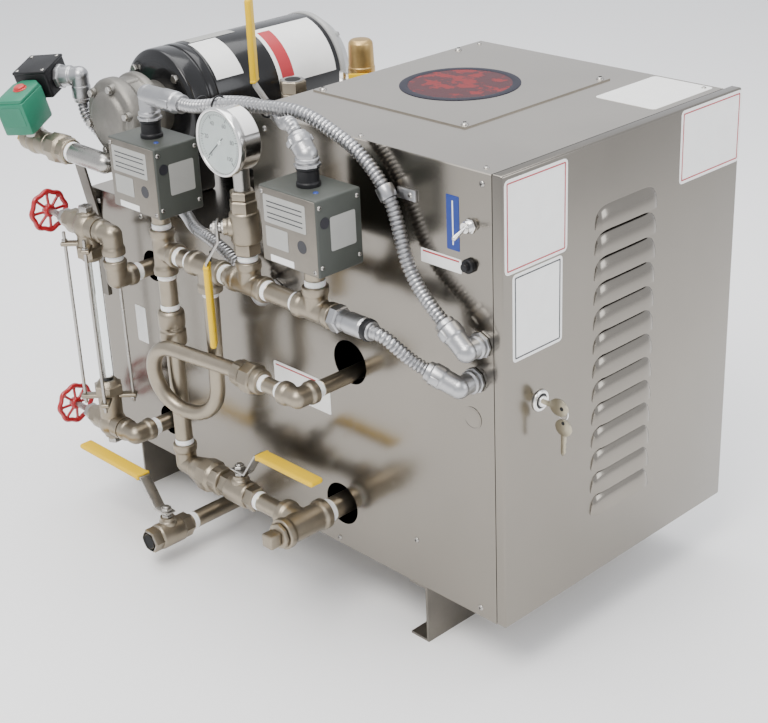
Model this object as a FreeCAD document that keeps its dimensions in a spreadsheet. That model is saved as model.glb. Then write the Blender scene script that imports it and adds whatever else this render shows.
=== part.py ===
import FreeCAD, Part
import Sketcher
import math
import os
import re

# Small electric steam boiler: a stainless cabinet on two legs, with its pipework, pump and controls.
# Millimetres, +Z up. The door faces +X and the pipework wall faces -Y. The origin is on the floor,
# under the middle of the whole machine. Places are worked out from the cabinet corner between the
# door's outer face and the pipework wall's outer face, at the cabinet's underside.

V = FreeCAD.Vector
doc = FreeCAD.newDocument("SteamBoiler")

# ---------------------------------------------------------------- driving dimensions
SIZES = [
    # where the origin lies
    ("OriginFromDoor", 388.3, "door face to the origin"),
    ("OriginFromWall", 133.5, "pipework wall to the origin"),
    # cabinet
    ("NearLegX", 118, "door face to near leg"),
    ("FarLegInset", 49, "left end to far leg"),
    ("LegHeight", 74, "floor to cabinet underside"),
    ("LegPlate", 3, "leg plate thickness"),
    ("LegFlange", 28, "width of a leg's bent flanges"),
    ("CabHeight", 508, "height of the tall housing"),
    ("TallLength", 371, "door face to the step between the housings"),
    ("LowLength", 706, "door face to the left end"),
    ("LowHeight", 346, "height of the low housing"),
    ("BodyDepth", 374, "depth of the cabinet"),
    ("SheetGauge", 1.5, "cabinet sheet thickness"),
    ("FrameLip", 14, "inward lip round the door opening"),
    ("DoorDepth", 390, "door width"),
    ("DoorPan", 12, "depth of the door's folded edge"),
    ("DoorGap", 1, "door edge to cabinet"),
    ("HingePinX", 15, "hinge axis behind the door face"),
    ("HingePinInset", 8, "hinge axis from the door's far edge"),
    ("HingeBarrelR", 4, "hinge barrel radius"),
    ("HingeBarrelLength", 58, "length of a hinge barrel"),
    ("LouvreCount", 13, "number of door louvres"),
    ("LouvreFirstZ", 78, "lowest louvre above the cabinet base"),
    ("LouvrePitch", 28, "louvre spacing"),
    ("LouvreY", 141, "door edge to the louvres"),
    ("LouvreLength", 100, "louvre length"),
    ("LouvreRise", 7, "louvre projection"),
    ("LouvreTall", 24, "louvre height"),
    ("LockY", 55, "door edge to the lock"),
    ("LockZ", 254, "lock above the cabinet base"),
    ("LockR", 9, "lock barrel radius"),
    ("CoverX", 132, "door face to the cover plate"),
    ("CoverY", 91, "pipework wall to the cover plate"),
    ("CoverLength", 234, "cover plate length"),
    ("CoverWidth", 237, "cover plate width"),
    # pressure vessel
    ("VesselR", 128, "pressure vessel radius"),
    ("VesselFrontX", 170, "door face to vessel"),
    ("VesselInset", 56, "left end to vessel's far end"),
    ("VesselZ", 157, "vessel axis above the cabinet base"),
    ("NippleDepth", 25, "vessel's mid-plane to the ends of its nipples"),
    # pipe sizes
    ("PipeR", 10.65, "half-inch pipe radius"),
    ("BandR", 14.5, "half-inch fitting collar radius"),
    ("FittingR", 12.8, "half-inch fitting body radius"),
    ("CollarLength", 8, "length of a fitting's collar"),
    ("TeeReach", 28, "half-inch fitting centre to end"),
    ("ElbowReach", 25, "sight-glass elbow centre to end"),
    ("BigPipeR", 13.35, "three-quarter pipe radius"),
    ("BigBandR", 18.5, "three-quarter collar radius"),
    ("BigFittingR", 16.2, "three-quarter body radius"),
    ("BigReach", 33, "three-quarter tee centre to end"),
    ("SiphonR", 9, "siphon pipe radius"),
    ("SiphonBandR", 13.5, "siphon elbow collar radius"),
    ("SiphonFittingR", 11.5, "siphon elbow body radius"),
    ("SiphonReach", 24, "siphon elbow centre to end"),
    ("SiphonTurnR", 43, "siphon loop radius"),
    ("BigHoleR", 26, "clearance hole for the blowdown and siphon pipes"),
    ("SmallHoleR", 20, "clearance hole for the other pipes"),
    # pipework stations
    ("PipeOut", 61, "pipework wall to the pipework plane"),
    ("ColumnX", 470, "door face to the column"),
    ("SiphonTeeX", 388, "door face to the siphon tee"),
    ("GaugeTeeX", 315, "door face to the gauge tee"),
    ("ControlTeeX", 206, "door face to the right control tee"),
    ("BlowdownX", 254, "door face to the blowdown tee"),
    ("SiphonX", 227, "door face to the siphon's outlet"),
    ("UpperRunZ", 335, "upper run above the cabinet base"),
    ("LowerRunZ", 56, "lower run above the cabinet base"),
    ("SiphonZ", 231, "siphon's outlet above the cabinet base"),
    ("SiphonAhead", 17, "pipework plane to the siphon elbow"),
    ("SiphonUnionX", 307, "door face to the siphon union"),
    ("BlowdownUnionX", 419, "door face to the blowdown union"),
    ("BlowdownValveX", 364, "door face to the blowdown valve"),
    ("DrainX", 480, "door face to the drain"),
    ("DrainZ", 34, "drain pipe below the cabinet base"),
    ("DrainValveOut", 92, "pipework wall to the drain valve"),
    # ball valves
    ("ValveBodyR", 16.5, "ball valve body radius"),
    ("ValveReach", 31, "ball valve centre to end"),
    ("ValveHex", 27, "ball valve end hexagon, across flats"),
    ("BoreR", 9.2, "open pipe thread bore radius"),
    ("BoreDepth", 16, "open pipe thread bore depth"),
    ("StemTop", 29, "valve axis to the lever's hub"),
    ("StemR", 5, "valve stem radius"),
    ("LeverHub", 16, "stem to the lever's bend"),
    ("NeckRun", 24, "lever neck run along the lever"),
    ("FlatRise", 15, "neck rise of the gauge and steam levers"),
    ("CrankRise", 34, "neck rise of the blowdown and drain levers"),
    ("LeverLength", 138, "stem to lever tip"),
    ("DrainLeverLength", 168, "stem to drain lever tip"),
    ("LeverWidth", 15, "lever width"),
    ("LeverPlate", 2.5, "lever plate thickness"),
    ("GripWidth", 19, "lever grip width"),
    ("GripPlate", 7, "lever grip thickness"),
    # controls and gauge
    ("ControlWidth", 88, "control box width"),
    ("ControlHeight", 82, "control box height"),
    ("ControlDepth", 62, "control box depth"),
    ("ControlZ", 390, "control box underside above the cabinet base"),
    ("HubR", 13, "control box conduit hub radius"),
    ("HubHeight", 20, "control box conduit hub height"),
    ("GaugeZ", 501, "gauge centre above the cabinet base"),
    ("GaugeAhead", 27, "pipework plane to the gauge's face"),
    ("GaugeR", 37, "gauge bezel radius"),
    ("GaugeDepth", 32, "gauge case depth"),
    ("GaugeValveZ", 402, "gauge valve above the cabinet base"),
    # sight glass
    ("GlassInset", 70, "left end to the sight glass"),
    ("GlassPipeInset", 121, "left end to the sight-glass pipes"),
    ("GlassOut", 55, "pipework wall to the sight glass"),
    ("GlassR", 8, "sight-glass tube radius"),
    ("GlassTopZ", 325, "upper gauge valve above the cabinet base"),
    ("GlassLowZ", 52, "lower gauge valve above the cabinet base"),
    ("GlassUpperPipeZ", 268, "upper sight-glass pipe above the cabinet base"),
    ("UpperNutAt", 25, "upper valve centre to its packing nut"),
    ("LowerNutAt", 43, "lower valve centre to its packing nut"),
    ("NutLength", 20, "packing nut length"),
    ("NutFlats", 34, "packing nut across flats"),
    ("RodSpread", 31, "guard rod from the glass axis"),
    ("RodR", 2.2, "guard rod radius"),
    ("RodStub", 10, "guard rod beyond its ears"),
    ("EarPlate", 5, "guard rod ear thickness"),
    ("WheelR", 29, "handwheel radius"),
    ("WheelAt", 86, "glass axis to the handwheel"),
    ("WheelRim", 3.2, "handwheel rim radius"),
    ("WheelStemR", 4, "handwheel stem radius"),
    # machinery on the deck
    ("MotorInset", 86, "left end to the motor axis"),
    ("MotorZ", 453, "motor axis above the cabinet base"),
    ("MotorR", 70, "motor radius"),
    ("MotorY", 100, "pipework wall to the motor body"),
    ("MotorLength", 200, "motor body length"),
    ("EndBell", 30, "motor end bell length"),
    ("AdaptorLength", 42, "motor adaptor length"),
    ("PumpR", 49, "pump casing radius"),
    ("PumpFront", 15, "pump casing in front of the pipework wall"),
    ("PumpDepth", 50, "pump casing depth"),
    ("SolenoidBeyond", 60, "left end to the solenoid valve beyond it"),
    ("SolenoidOut", 30, "pipework wall to the solenoid valve"),
    ("SolenoidZ", 402, "solenoid valve above the cabinet base"),
    ("BracketInset", 6, "left end to the pipe bracket"),
    ("CoilTurn", 25, "angle that the coil housing is turned about its stem"),
    ("CoilLean", 15, "angle that the solenoid valve leans outwards"),
    ("CoilUp", 24, "solenoid valve to its coil housing"),
    ("CoilWidth", 42, "coil housing width"),
    ("CoilDepth", 60, "coil housing depth"),
    ("CoilHeight", 48, "coil housing height"),
    ("BoxSide", 49, "junction box side"),
    ("BoxHeight", 40, "junction box height"),
    ("BoxUp", 41, "solenoid valve to its junction box"),
    ("SteamX", 423, "door face to the steam outlet"),
    ("SteamY", 110, "pipework wall to the steam outlet"),
    ("SteamValveZ", 462, "steam valve above the cabinet base"),
    ("ReliefX", 478, "door face to the relief valve"),
    ("ReliefY", 270, "pipework wall to the relief valve"),
    ("ReliefZ", 416, "relief valve above the cabinet base"),
    ("ReliefCapR", 17, "relief valve cap radius"),
    # wiring
    ("ConduitR", 7.4, "flexible conduit radius"),
    ("ConnectorR", 11.5, "conduit connector radius"),
    ("ToggleX", 41, "door face to the toggle switch"),
    ("ToggleZ", 450, "toggle switch above the cabinet base"),
    ("ResetX", 43, "door face to the reset button"),
    ("ResetZ", 408, "reset button above the cabinet base"),
    ("ResetR", 4.6, "reset button radius"),
    ("RunGap", 0.3, "clearance between curved faces that move"),
    # places worked out from the sizes above
    ("FarLegX", "=LowLength - FarLegInset", "door face to far leg"),
    ("VesselRearX", "=LowLength - VesselInset", "door face to vessel's far end"),
    ("GlassX", "=LowLength - GlassInset", "door face to the sight glass"),
    ("GlassPipeX", "=LowLength - GlassPipeInset", "door face to the sight-glass pipes"),
    ("MotorX", "=LowLength - MotorInset", "door face to the motor axis"),
    ("SolenoidX", "=LowLength + SolenoidBeyond", "door face to the solenoid valve"),
    ("BracketX", "=LowLength - BracketInset", "door face to the pipe bracket"),
    ("SiphonOut", "=PipeOut + SiphonAhead", "pipework wall to the siphon elbow"),
    ("GaugeOut", "=PipeOut + GaugeAhead", "pipework wall to the gauge's face"),
]
sheet = doc.addObject("Spreadsheet::Sheet", "Sizes")
for row, (alias, number, meaning) in enumerate(SIZES, start=1):
    sheet.set("A%d" % row, meaning)
    sheet.set("B%d" % row, str(number))
    sheet.setAlias("B%d" % row, alias)
doc.recompute()
WORDS = re.compile(r"\b(" + "|".join(alias for alias, _, _ in SIZES) + r")\b")
NODES = []


def size(alias):
    """A driving dimension as a number."""
    return float(getattr(sheet, alias))


def on_sheet(text):
    """An expression whose driving dimensions are looked up on the sheet."""
    return WORDS.sub(r"Sizes.\1", str(text))


def back(distance):
    """X of a point this far behind the door face."""
    return "OriginFromDoor - (%s)" % distance


def deep(distance):
    """Y of a point this far behind the pipework wall's outer face."""
    return "(%s) - OriginFromWall" % distance


def out(distance):
    """Y of a point this far in front of the pipework wall."""
    return "0 - OriginFromWall - (%s)" % distance


def up(distance):
    """Z of a point this far above the cabinet base."""
    return "LegHeight + (%s)" % distance


# ---------------------------------------------------------------- directions
HALF = math.sqrt(0.5)
LEAN = FreeCAD.Rotation(V(1, 0, 0), size("CoilLean"))
COIL_TURN = LEAN * FreeCAD.Rotation(V(0, 0, 1), size("CoilTurn"))
AXES = {
    "X": V(1, 0, 0),
    "-X": V(-1, 0, 0),
    "Y": V(0, 1, 0),
    "-Y": V(0, -1, 0),
    "Z": V(0, 0, 1),
    "-Z": V(0, 0, -1),
    # gauge valve stem
    "gauge_stem": V(-HALF, -HALF, 0),
    # steam valve stem
    "steam_stem": V(-0.8, -0.6, 0),
    # relief valve: outlet, test lever and the lever's hinge side
    "outlet": V(-HALF, -HALF, 0),
    "test_lever": V(HALF, HALF, 0),
    "hinge_side": V(HALF, -HALF, 0),
    # solenoid valve, leaning outwards
    "coil_up": COIL_TURN.multVec(V(0, 0, 1)),
    "coil_side": COIL_TURN.multVec(V(1, 0, 0)),
    "coil_back": COIL_TURN.multVec(V(0, 1, 0)),
    # arms of the conduit connectors
    "control_arm": V(-0.7, 0.1, 0.7).normalize(),
    "upper_arm": V(-0.8, 0, 0.6),
    "lower_arm": V(-0.85, -0.35, 0.39).normalize(),
    "strap_run": V(0.59, 0, -0.81).normalize(),
}


def along(at, axis, distance):
    """The point this far from another along an axis."""
    steps = []
    for base, part in zip(at, AXES[axis]):
        steps.append("%s + (%s) * %.6f" % (base, distance, part) if abs(part) > 1e-9 else base)
    return tuple(steps)


# ---------------------------------------------------------------- solids
def place(item, at, axis="Z", rotation=None):
    """Puts an object's own origin at a point, its own Z along an axis."""
    turn = rotation or FreeCAD.Rotation(V(0, 0, 1), AXES[axis])
    item.Placement = FreeCAD.Placement(V(0, 0, 0), turn)
    for letter, text in zip("xyz", at):
        item.setExpression("Placement.Base." + letter, on_sheet(text))
    return item


def rod(radius, length, at, axis="Z"):
    """Round bar."""
    item = doc.addObject("Part::Cylinder", "Rod")
    item.setExpression("Radius", on_sheet(radius))
    item.setExpression("Height", on_sheet(length))
    return place(item, at, axis)


def taper(radius, end_radius, length, at, axis="Z", rotation=None):
    """Round bar that narrows."""
    item = doc.addObject("Part::Cone", "Taper")
    item.setExpression("Radius1", on_sheet(radius))
    item.setExpression("Radius2", on_sheet(end_radius))
    item.setExpression("Height", on_sheet(length))
    return place(item, at, axis, rotation)


def ball(radius, at):
    """Ball."""
    item = doc.addObject("Part::Sphere", "Ball")
    item.setExpression("Radius", on_sheet(radius))
    return place(item, at)


def ring(radius, tube_radius, at, axis="Z"):
    """Round ring."""
    item = doc.addObject("Part::Torus", "Ring")
    item.setExpression("Radius1", on_sheet(radius))
    item.setExpression("Radius2", on_sheet(tube_radius))
    return place(item, at, axis)


def hexagon(flats, length, at, axis="Z"):
    """Hexagonal bar of this size across its flats."""
    item = doc.addObject("Part::Prism", "Hexagon")
    item.Polygon = 6
    item.setExpression("Circumradius", on_sheet("(%s) / 2 / cos(30 deg)" % flats))
    item.setExpression("Height", on_sheet(length))
    return place(item, at, axis)


def block(length, width, height, at, rotation=None):
    """Rectangular block from its low corner."""
    item = doc.addObject("Part::Box", "Block")
    item.setExpression("Length", on_sheet(length))
    item.setExpression("Width", on_sheet(width))
    item.setExpression("Height", on_sheet(height))
    return place(item, at, rotation=rotation)


def joined(pieces):
    """Pieces joined into one shape."""
    if len(pieces) == 1:
        return pieces[0]
    item = doc.addObject("Part::MultiFuse", "Joined")
    item.Shapes = pieces
    return item


def without(piece, holes):
    """A piece with others cut from it."""
    item = doc.addObject("Part::Cut", "Without")
    item.Base = piece
    item.Tool = joined(holes)
    return item


def node(label, pieces, holes=()):
    """Names a finished sub-part."""
    item = joined(list(pieces))
    if holes:
        item = without(item, list(holes))
    item.Label = label
    NODES.append(item)
    return item


def outline(body, plane, points, circles=()):
    """Closed sketch whose corners, and round holes, are held by the sheet."""
    sketch = body.newObject("Sketcher::SketchObject", "Outline")
    origin_plane = next(f for f in body.Origin.OriginFeatures if f.Role == plane)
    sketch.AttachmentSupport = [(origin_plane, "")]
    sketch.MapMode = "FlatFace"
    count = len(points)
    turn = 2 * math.pi / count
    start = [V(3 + 2 * math.cos(turn * k), 3 + 2 * math.sin(turn * k), 0) for k in range(count)]
    for k in range(count):
        sketch.addGeometry(Part.LineSegment(start[k], start[(k + 1) % count]), False)
    for k in range(count):
        sketch.addConstraint(Sketcher.Constraint("Coincident", k, 2, (k + 1) % count, 1))
    held = []
    for k, (across, along_plane) in enumerate(points):
        held.append((Sketcher.Constraint("DistanceX", -1, 1, k, 1, 1.0), across))
        held.append((Sketcher.Constraint("DistanceY", -1, 1, k, 1, 1.0), along_plane))
    for centre_x, centre_y, radius in circles:
        circle = sketch.addGeometry(Part.Circle(V(1, 1, 0), V(0, 0, 1), 1), False)
        held.append((Sketcher.Constraint("DistanceX", -1, 1, circle, 3, 1.0), centre_x))
        held.append((Sketcher.Constraint("DistanceY", -1, 1, circle, 3, 1.0), centre_y))
        held.append((Sketcher.Constraint("Radius", circle, 1.0), radius))
    for constraint, text in held:
        spot = sketch.addConstraint(constraint)
        sketch.setExpression("Constraints[%d]" % spot, on_sheet(text))
    return sketch


def plate(plane, points, thickness, at, circles=(), centred=False, rotation=None, reverse=False):
    """Flat plate of a drawn outline."""
    body = doc.addObject("PartDesign::Body", "Plate")
    raised = body.newObject("PartDesign::Pad", "Pad")
    raised.Profile = outline(body, plane, points, circles)
    raised.setExpression("Length", on_sheet(thickness))
    raised.Midplane = centred
    raised.Reversed = reverse
    return place(body, at, rotation=rotation or FreeCAD.Rotation())


# ---------------------------------------------------------------- bent tubes
def rounded_path(points, radii):
    """Straight runs joined by tangent arcs."""
    edges = []
    start = points[0]
    for here, before_here, after_here, radius in zip(points[1:], points, points[2:], radii):
        before = (here - before_here).normalize()
        after = (after_here - here).normalize()
        turn = before.getAngle(after)
        trim = radius * math.tan(turn / 2)
        first = here - before * trim
        last = here + after * trim
        middle = here + (after - before).normalize() * (radius / math.cos(turn / 2) - radius)
        if (first - start).Length > 0.001:
            edges.append(Part.LineSegment(start, first).toShape())
        edges.append(Part.Arc(first, middle, last).toShape())
        start = last
    edges.append(Part.LineSegment(start, points[-1]).toShape())
    return Part.Wire(edges)


def even_radii(points):
    """Arc radii as large as the neighbouring runs allow."""
    radii = []
    for here, before_here, after_here in zip(points[1:], points, points[2:]):
        before = here - before_here
        after = after_here - here
        shorter = min(before.Length, after.Length)
        radii.append(0.45 * shorter / math.tan(before.getAngle(after) / 2))
    return radii


def tube(name, points, radii, radius):
    """Round tube along a rounded path."""
    path = rounded_path(points, radii)
    first = path.Edges[0]
    tangent = first.tangentAt(first.FirstParameter)
    circle = Part.Wire(Part.Circle(points[0], tangent, radius).toShape())
    solid = path.makePipeShell([circle], True, False, 1)
    drift = abs(solid.Volume / (math.pi * radius ** 2 * path.Length) - 1)
    print("%s: %.0f mm long, tightest radius %.1f mm" % (name, path.Length, min(radii)))
    if drift > 0.01:
        raise ValueError("%s doubles back on itself" % name)
    item = doc.addObject("Part::Feature", "Tube")
    item.Shape = solid
    return item


def where(at):
    """A point's expressions worked out as numbers."""
    probe = doc.addObject("Part::Vertex", "Probe")
    for letter, text in zip("XYZ", at):
        probe.setExpression(letter, on_sheet(text))
    probe.recompute()
    point = V(probe.X.Value, probe.Y.Value, probe.Z.Value)
    doc.removeObject(probe.Name)
    return point


def from_corner(behind_door, before_wall, above_base):
    """A point chosen by hand, measured from the cabinet corner."""
    return V(size("OriginFromDoor") - behind_door, -size("OriginFromWall") - before_wall,
             size("LegHeight") + above_base)


# ---------------------------------------------------------------- cabinet
def side_wall(label, y_face, faces_back, circles):
    """L-shaped side of the cabinet with the lip of the door opening."""
    front = "DoorPan + DoorGap"
    corners = [
        (front, "0"),
        ("LowLength", "0"),
        ("LowLength", "LowHeight"),
        ("TallLength", "LowHeight"),
        ("TallLength", "CabHeight - SheetGauge"),
        (front, "CabHeight - SheetGauge"),
    ]
    wall = plate("XZ_Plane", corners, "SheetGauge", (back("0"), y_face, up("0")), circles,
                 rotation=FreeCAD.Rotation(V(0, 0, 1), 180), reverse=faces_back)
    lip_y = y_face + " - FrameLip" if faces_back else y_face
    lip = block("SheetGauge", "FrameLip", "CabHeight - 2 * SheetGauge",
                (back(front + " + SheetGauge"), lip_y, up("SheetGauge")))
    node(label, [wall, lip])


def cabinet():
    """Sheet-metal housings: a tall one for the controls and a low one that carries the pump."""
    side_wall("pipework_wall", deep("0"), False, [
        ("BlowdownX", "LowerRunZ", "BigHoleR"),
        ("SiphonX", "SiphonZ + BigHoleR - SiphonR - 2", "BigHoleR"),
        ("GlassPipeX", "GlassUpperPipeZ", "SmallHoleR"),
        ("GlassPipeX", "GlassLowZ", "SmallHoleR"),
        ("ResetX", "ResetZ", "ResetR + 0.6"),
    ])
    side_wall("rear_wall", deep("BodyDepth"), True, [])
    inner = "BodyDepth - 2 * SheetGauge"
    near = deep("SheetGauge")
    node("cross_walls", [
        block("SheetGauge", inner, "CabHeight - LowHeight - SheetGauge",
              (back("TallLength"), near, up("LowHeight"))),
        block("SheetGauge", inner, "LowHeight - 2 * SheetGauge",
              (back("LowLength"), near, up("SheetGauge"))),
    ])
    deck_holes = [
        rod("SmallHoleR", "4 * SheetGauge", (back(x), deep(y), up("LowHeight - 3 * SheetGauge")))
        for x, y in (("SteamX", "SteamY"), ("ReliefX", "ReliefY"))
    ]
    node("deck", [block("LowLength - TallLength + SheetGauge", inner, "SheetGauge",
                        (back("LowLength"), near, up("LowHeight - SheetGauge")))], deck_holes)
    node("base_pan", [block("LowLength - DoorPan - DoorGap", inner, "SheetGauge",
                            (back("LowLength"), near, up("0")))],
         [rod("SmallHoleR", "4 * SheetGauge", (back("DrainX"), deep("BodyDepth / 2"),
                                               up("0 - SheetGauge")))])
    node("top_panel", [block("TallLength - DoorPan - DoorGap", "BodyDepth", "SheetGauge",
                             (back("TallLength"), deep("0"), up("CabHeight - SheetGauge")))])
    node("top_cover", [block("CoverLength", "CoverWidth", "SheetGauge",
                             (back("CoverX + CoverLength"), deep("CoverY"), up("CabHeight")))])


def legs():
    """Two bent plates across the cabinet's depth."""
    pieces = []
    for station in ("NearLegX", "FarLegX"):
        flange_x = back(station + " + LegFlange")
        pieces.append(joined([
            block("LegPlate", "BodyDepth", "LegHeight",
                  (back(station + " + LegPlate"), deep("0"), "0")),
            block("LegFlange", "BodyDepth", "LegPlate", (flange_x, deep("0"), "0")),
            block("LegFlange", "BodyDepth", "LegPlate",
                  (flange_x, deep("0"), "LegHeight - LegPlate")),
        ]))
    node("legs", pieces)


def louvre(index):
    """One pressed louvre: it stands out most at its lower, open edge."""
    bump = doc.addObject("Part::Wedge", "Louvre")
    extents = {
        "Xmin": "0",
        "Xmax": "LouvreRise",
        "X2min": "0",
        "X2max": "LouvreRise / 8",
        "Ymin": "0",
        "Ymax": "LouvreTall",
        "Zmin": "0",
        "Zmax": "LouvreLength",
        "Z2min": "LouvreRise",
        "Z2max": "LouvreLength - LouvreRise",
    }
    for name, text in extents.items():
        bump.setExpression(name, on_sheet(text))
    upright = FreeCAD.Rotation(V(1, 0, 0), V(0, 0, 1), V(0, -1, 0), "ZXY")
    low = "LouvreFirstZ + %d * LouvrePitch" % index
    return place(bump, (back("0"), deep("LouvreY + LouvreLength"), up(low)), rotation=upright)


def door():
    """Louvred pan door with its lock, and the hinges on its far edge."""
    pan = without(
        block("DoorPan", "DoorDepth", "CabHeight", (back("DoorPan"), deep("0"), up("0"))),
        [
            block("DoorPan", "DoorDepth - 2 * SheetGauge", "CabHeight - 2 * SheetGauge",
                  (back("DoorPan + SheetGauge"), deep("SheetGauge"), up("SheetGauge"))),
            rod("LockR + RunGap", "20", (back("14"), deep("LockY"), up("LockZ")), "X"),
        ])
    pieces = [pan] + [louvre(index) for index in range(int(size("LouvreCount")))]
    leaves = []
    pin = deep("DoorDepth - HingePinInset")
    for hinge_low in ("HingeBarrelLength", "CabHeight - 3 * HingeBarrelLength"):
        upper = up(hinge_low + " + HingeBarrelLength + RunGap")
        pieces.append(rod("HingeBarrelR", "HingeBarrelLength", (back("HingePinX"), pin, upper)))
        pieces.append(block("HingePinX - DoorPan + 3", "HingePinInset - SheetGauge + 0.5",
                            "HingeBarrelLength", (back("HingePinX"), pin, upper)))
        lower = up(hinge_low)
        leaves.append(joined([
            rod("HingeBarrelR", "HingeBarrelLength", (back("HingePinX"), pin, lower)),
            block("26", "2.6", "HingeBarrelLength",
                  (back("HingePinX + 24"), deep("BodyDepth"), lower)),
            block("4", "DoorDepth - HingePinInset - BodyDepth", "HingeBarrelLength",
                  (back("HingePinX + 2"), deep("BodyDepth"), lower)),
        ]))
    node("door", pieces)
    node("hinge_leaves", leaves)


def lock():
    """Cam lock with the key in it and a second key hanging from its ring."""
    cam_x = "DoorPan + DoorGap + SheetGauge + 8"
    centre = (back("0"), deep("LockY"), up("LockZ"))
    key_x = "0 - 26"
    node("lock", [
        rod("LockR", cam_x + " + 5", (back(cam_x), centre[1], centre[2]), "X"),
        rod("LockR + 3", "2.5", along(centre, "X", "0.6"), "X"),
        block("3", "14", "LockY - SheetGauge - 6",
              (back(cam_x), deep("LockY - 7"), up("LockZ"))),
        rod("3", "12", along(centre, "X", "4"), "X"),
        rod("12", "2.4", (back(key_x), centre[1], up("LockZ - 1.2"))),
        ring("6", "0.9", (back(key_x + " - 8"), centre[1], up("LockZ - 5")), "Y"),
        rod("11", "2.4", (back(key_x + " - 8"), deep("LockY - 1.2"), up("LockZ - 21")), "Y"),
        block("7", "2.4", "28", (back(key_x + " - 4.5"), deep("LockY - 1.2"), up("LockZ - 54"))),
    ])


# ---------------------------------------------------------------- pressure vessel
def wall_nipple(x, z, start_out, radius):
    """Pipe from a fitting in front of the wall into the vessel."""
    return rod(radius, "(%s) + BodyDepth / 2 - NippleDepth" % start_out,
               (back(x), out(start_out), up(z)), "Y")


def wall_nipples():
    """The four pipes that join the vessel through the pipework wall."""
    return [
        wall_nipple("BlowdownX", "LowerRunZ", "PipeOut - BigReach", "BigPipeR"),
        wall_nipple("SiphonX", "SiphonZ", "SiphonOut - SiphonReach", "SiphonR"),
        wall_nipple("GlassPipeX", "GlassUpperPipeZ", "GlassOut - ElbowReach", "PipeR"),
        wall_nipple("GlassPipeX", "GlassLowZ", "GlassOut - ElbowReach", "PipeR"),
    ]


def risers():
    """Steam and relief pipes that stand on the vessel."""
    low = "VesselZ + 60"
    return [
        rod("PipeR", "SteamValveZ - ValveReach - (%s)" % low,
            (back("SteamX"), deep("SteamY"), up(low))),
        rod("PipeR", "ReliefZ - (%s)" % low, (back("ReliefX"), deep("ReliefY"), up(low))),
    ]


def drain_riser():
    """Pipe from the drain elbow up into the vessel."""
    return rod("PipeR", "DrainZ - TeeReach + VesselZ - VesselR + 15",
               (back("DrainX"), deep("BodyDepth / 2"), up("TeeReach - DrainZ")))


def vessel():
    """Pressure vessel that carries the pipes inside the low housing."""
    pieces = [rod("VesselR", "VesselRearX - VesselFrontX",
                  (back("VesselRearX"), deep("BodyDepth / 2"), up("VesselZ")), "X")]
    for saddle_x in ("VesselRearX - 40", "VesselFrontX + 80"):
        pieces.append(block("40", "160", "VesselZ - VesselR + 30",
                            (back(saddle_x), deep("BodyDepth / 2 - 80"), up("SheetGauge"))))
    node("pressure_vessel", pieces, wall_nipples() + risers() + [drain_riser()])


# ---------------------------------------------------------------- pipe fittings
def fitting(centre, arms, radius="FittingR", band="BandR", reach="TeeReach"):
    """Elbow or tee: collared arms that meet in a ball."""
    pieces = [ball(radius, centre)]
    for axis in arms:
        pieces.append(rod(radius, reach, centre, axis))
        collar = along(centre, axis, "(%s) - CollarLength" % reach)
        pieces.append(rod(band, "CollarLength", collar, axis))
    return joined(pieces)


def union(start, axis, length, flats):
    """Pipe union: its large nut, smaller end hexagon and collar."""
    return joined([
        rod("(%s) * 0.44" % flats, length, start, axis),
        hexagon(flats, "(%s) * 0.42" % length, along(start, axis, "(%s) * 0.2" % length), axis),
        hexagon("(%s) * 0.84" % flats, "(%s) * 0.3" % length,
                along(start, axis, "(%s) * 0.66" % length), axis),
    ])


def valve_body(centre, run, against, stem_axis, open_end=False):
    """Ball valve with hexagon ends and a packed stem."""
    body = joined([
        rod("ValveBodyR", "ValveReach * 1.16", along(centre, against, "ValveReach * 0.58"), run),
        hexagon("ValveHex", "ValveReach * 2", along(centre, against, "ValveReach"), run),
        rod("StemR + 4", "StemTop - 6", centre, stem_axis),
        rod("StemR", "StemTop - RunGap", centre, stem_axis),
    ])
    if open_end:
        bore = rod("BoreR", "BoreDepth + 1", along(centre, against, "ValveReach + 1"), run)
        body = without(body, [bore])
    return body


def lever(label, centre, stem_axis, lever_axis, length, rise):
    """Bent lever with a moulded grip, clamped by a nut on the valve stem."""
    x_axis = AXES[lever_axis]
    z_axis = AXES[stem_axis]
    turn = FreeCAD.Rotation(x_axis, z_axis.cross(x_axis), z_axis, "ZXY")
    hub = along(centre, stem_axis, "StemTop")
    strip = [
        ("0 - LeverHub / 2", "0"),
        ("LeverHub", "0"),
        ("LeverHub + NeckRun", rise),
        (length, rise),
        (length, rise + " + LeverPlate"),
        ("LeverHub + NeckRun - LeverPlate / 2", rise + " + LeverPlate"),
        ("LeverHub - LeverPlate / 2", "LeverPlate"),
        ("0 - LeverHub / 2", "LeverPlate"),
    ]
    grip_low = "%s + LeverPlate / 2 - GripPlate / 2" % rise
    grip = [
        ("LeverHub + NeckRun + 3", grip_low),
        (length + " + 2", grip_low),
        (length + " + 2", grip_low + " + GripPlate"),
        ("LeverHub + NeckRun + 3", grip_low + " + GripPlate"),
    ]
    node(label, [
        plate("XZ_Plane", strip, "LeverWidth", hub, centred=True, rotation=turn),
        plate("XZ_Plane", grip, "GripWidth", hub, centred=True, rotation=turn),
        hexagon("12", "6", along(hub, stem_axis, "LeverPlate / 2"), stem_axis),
    ])


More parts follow.
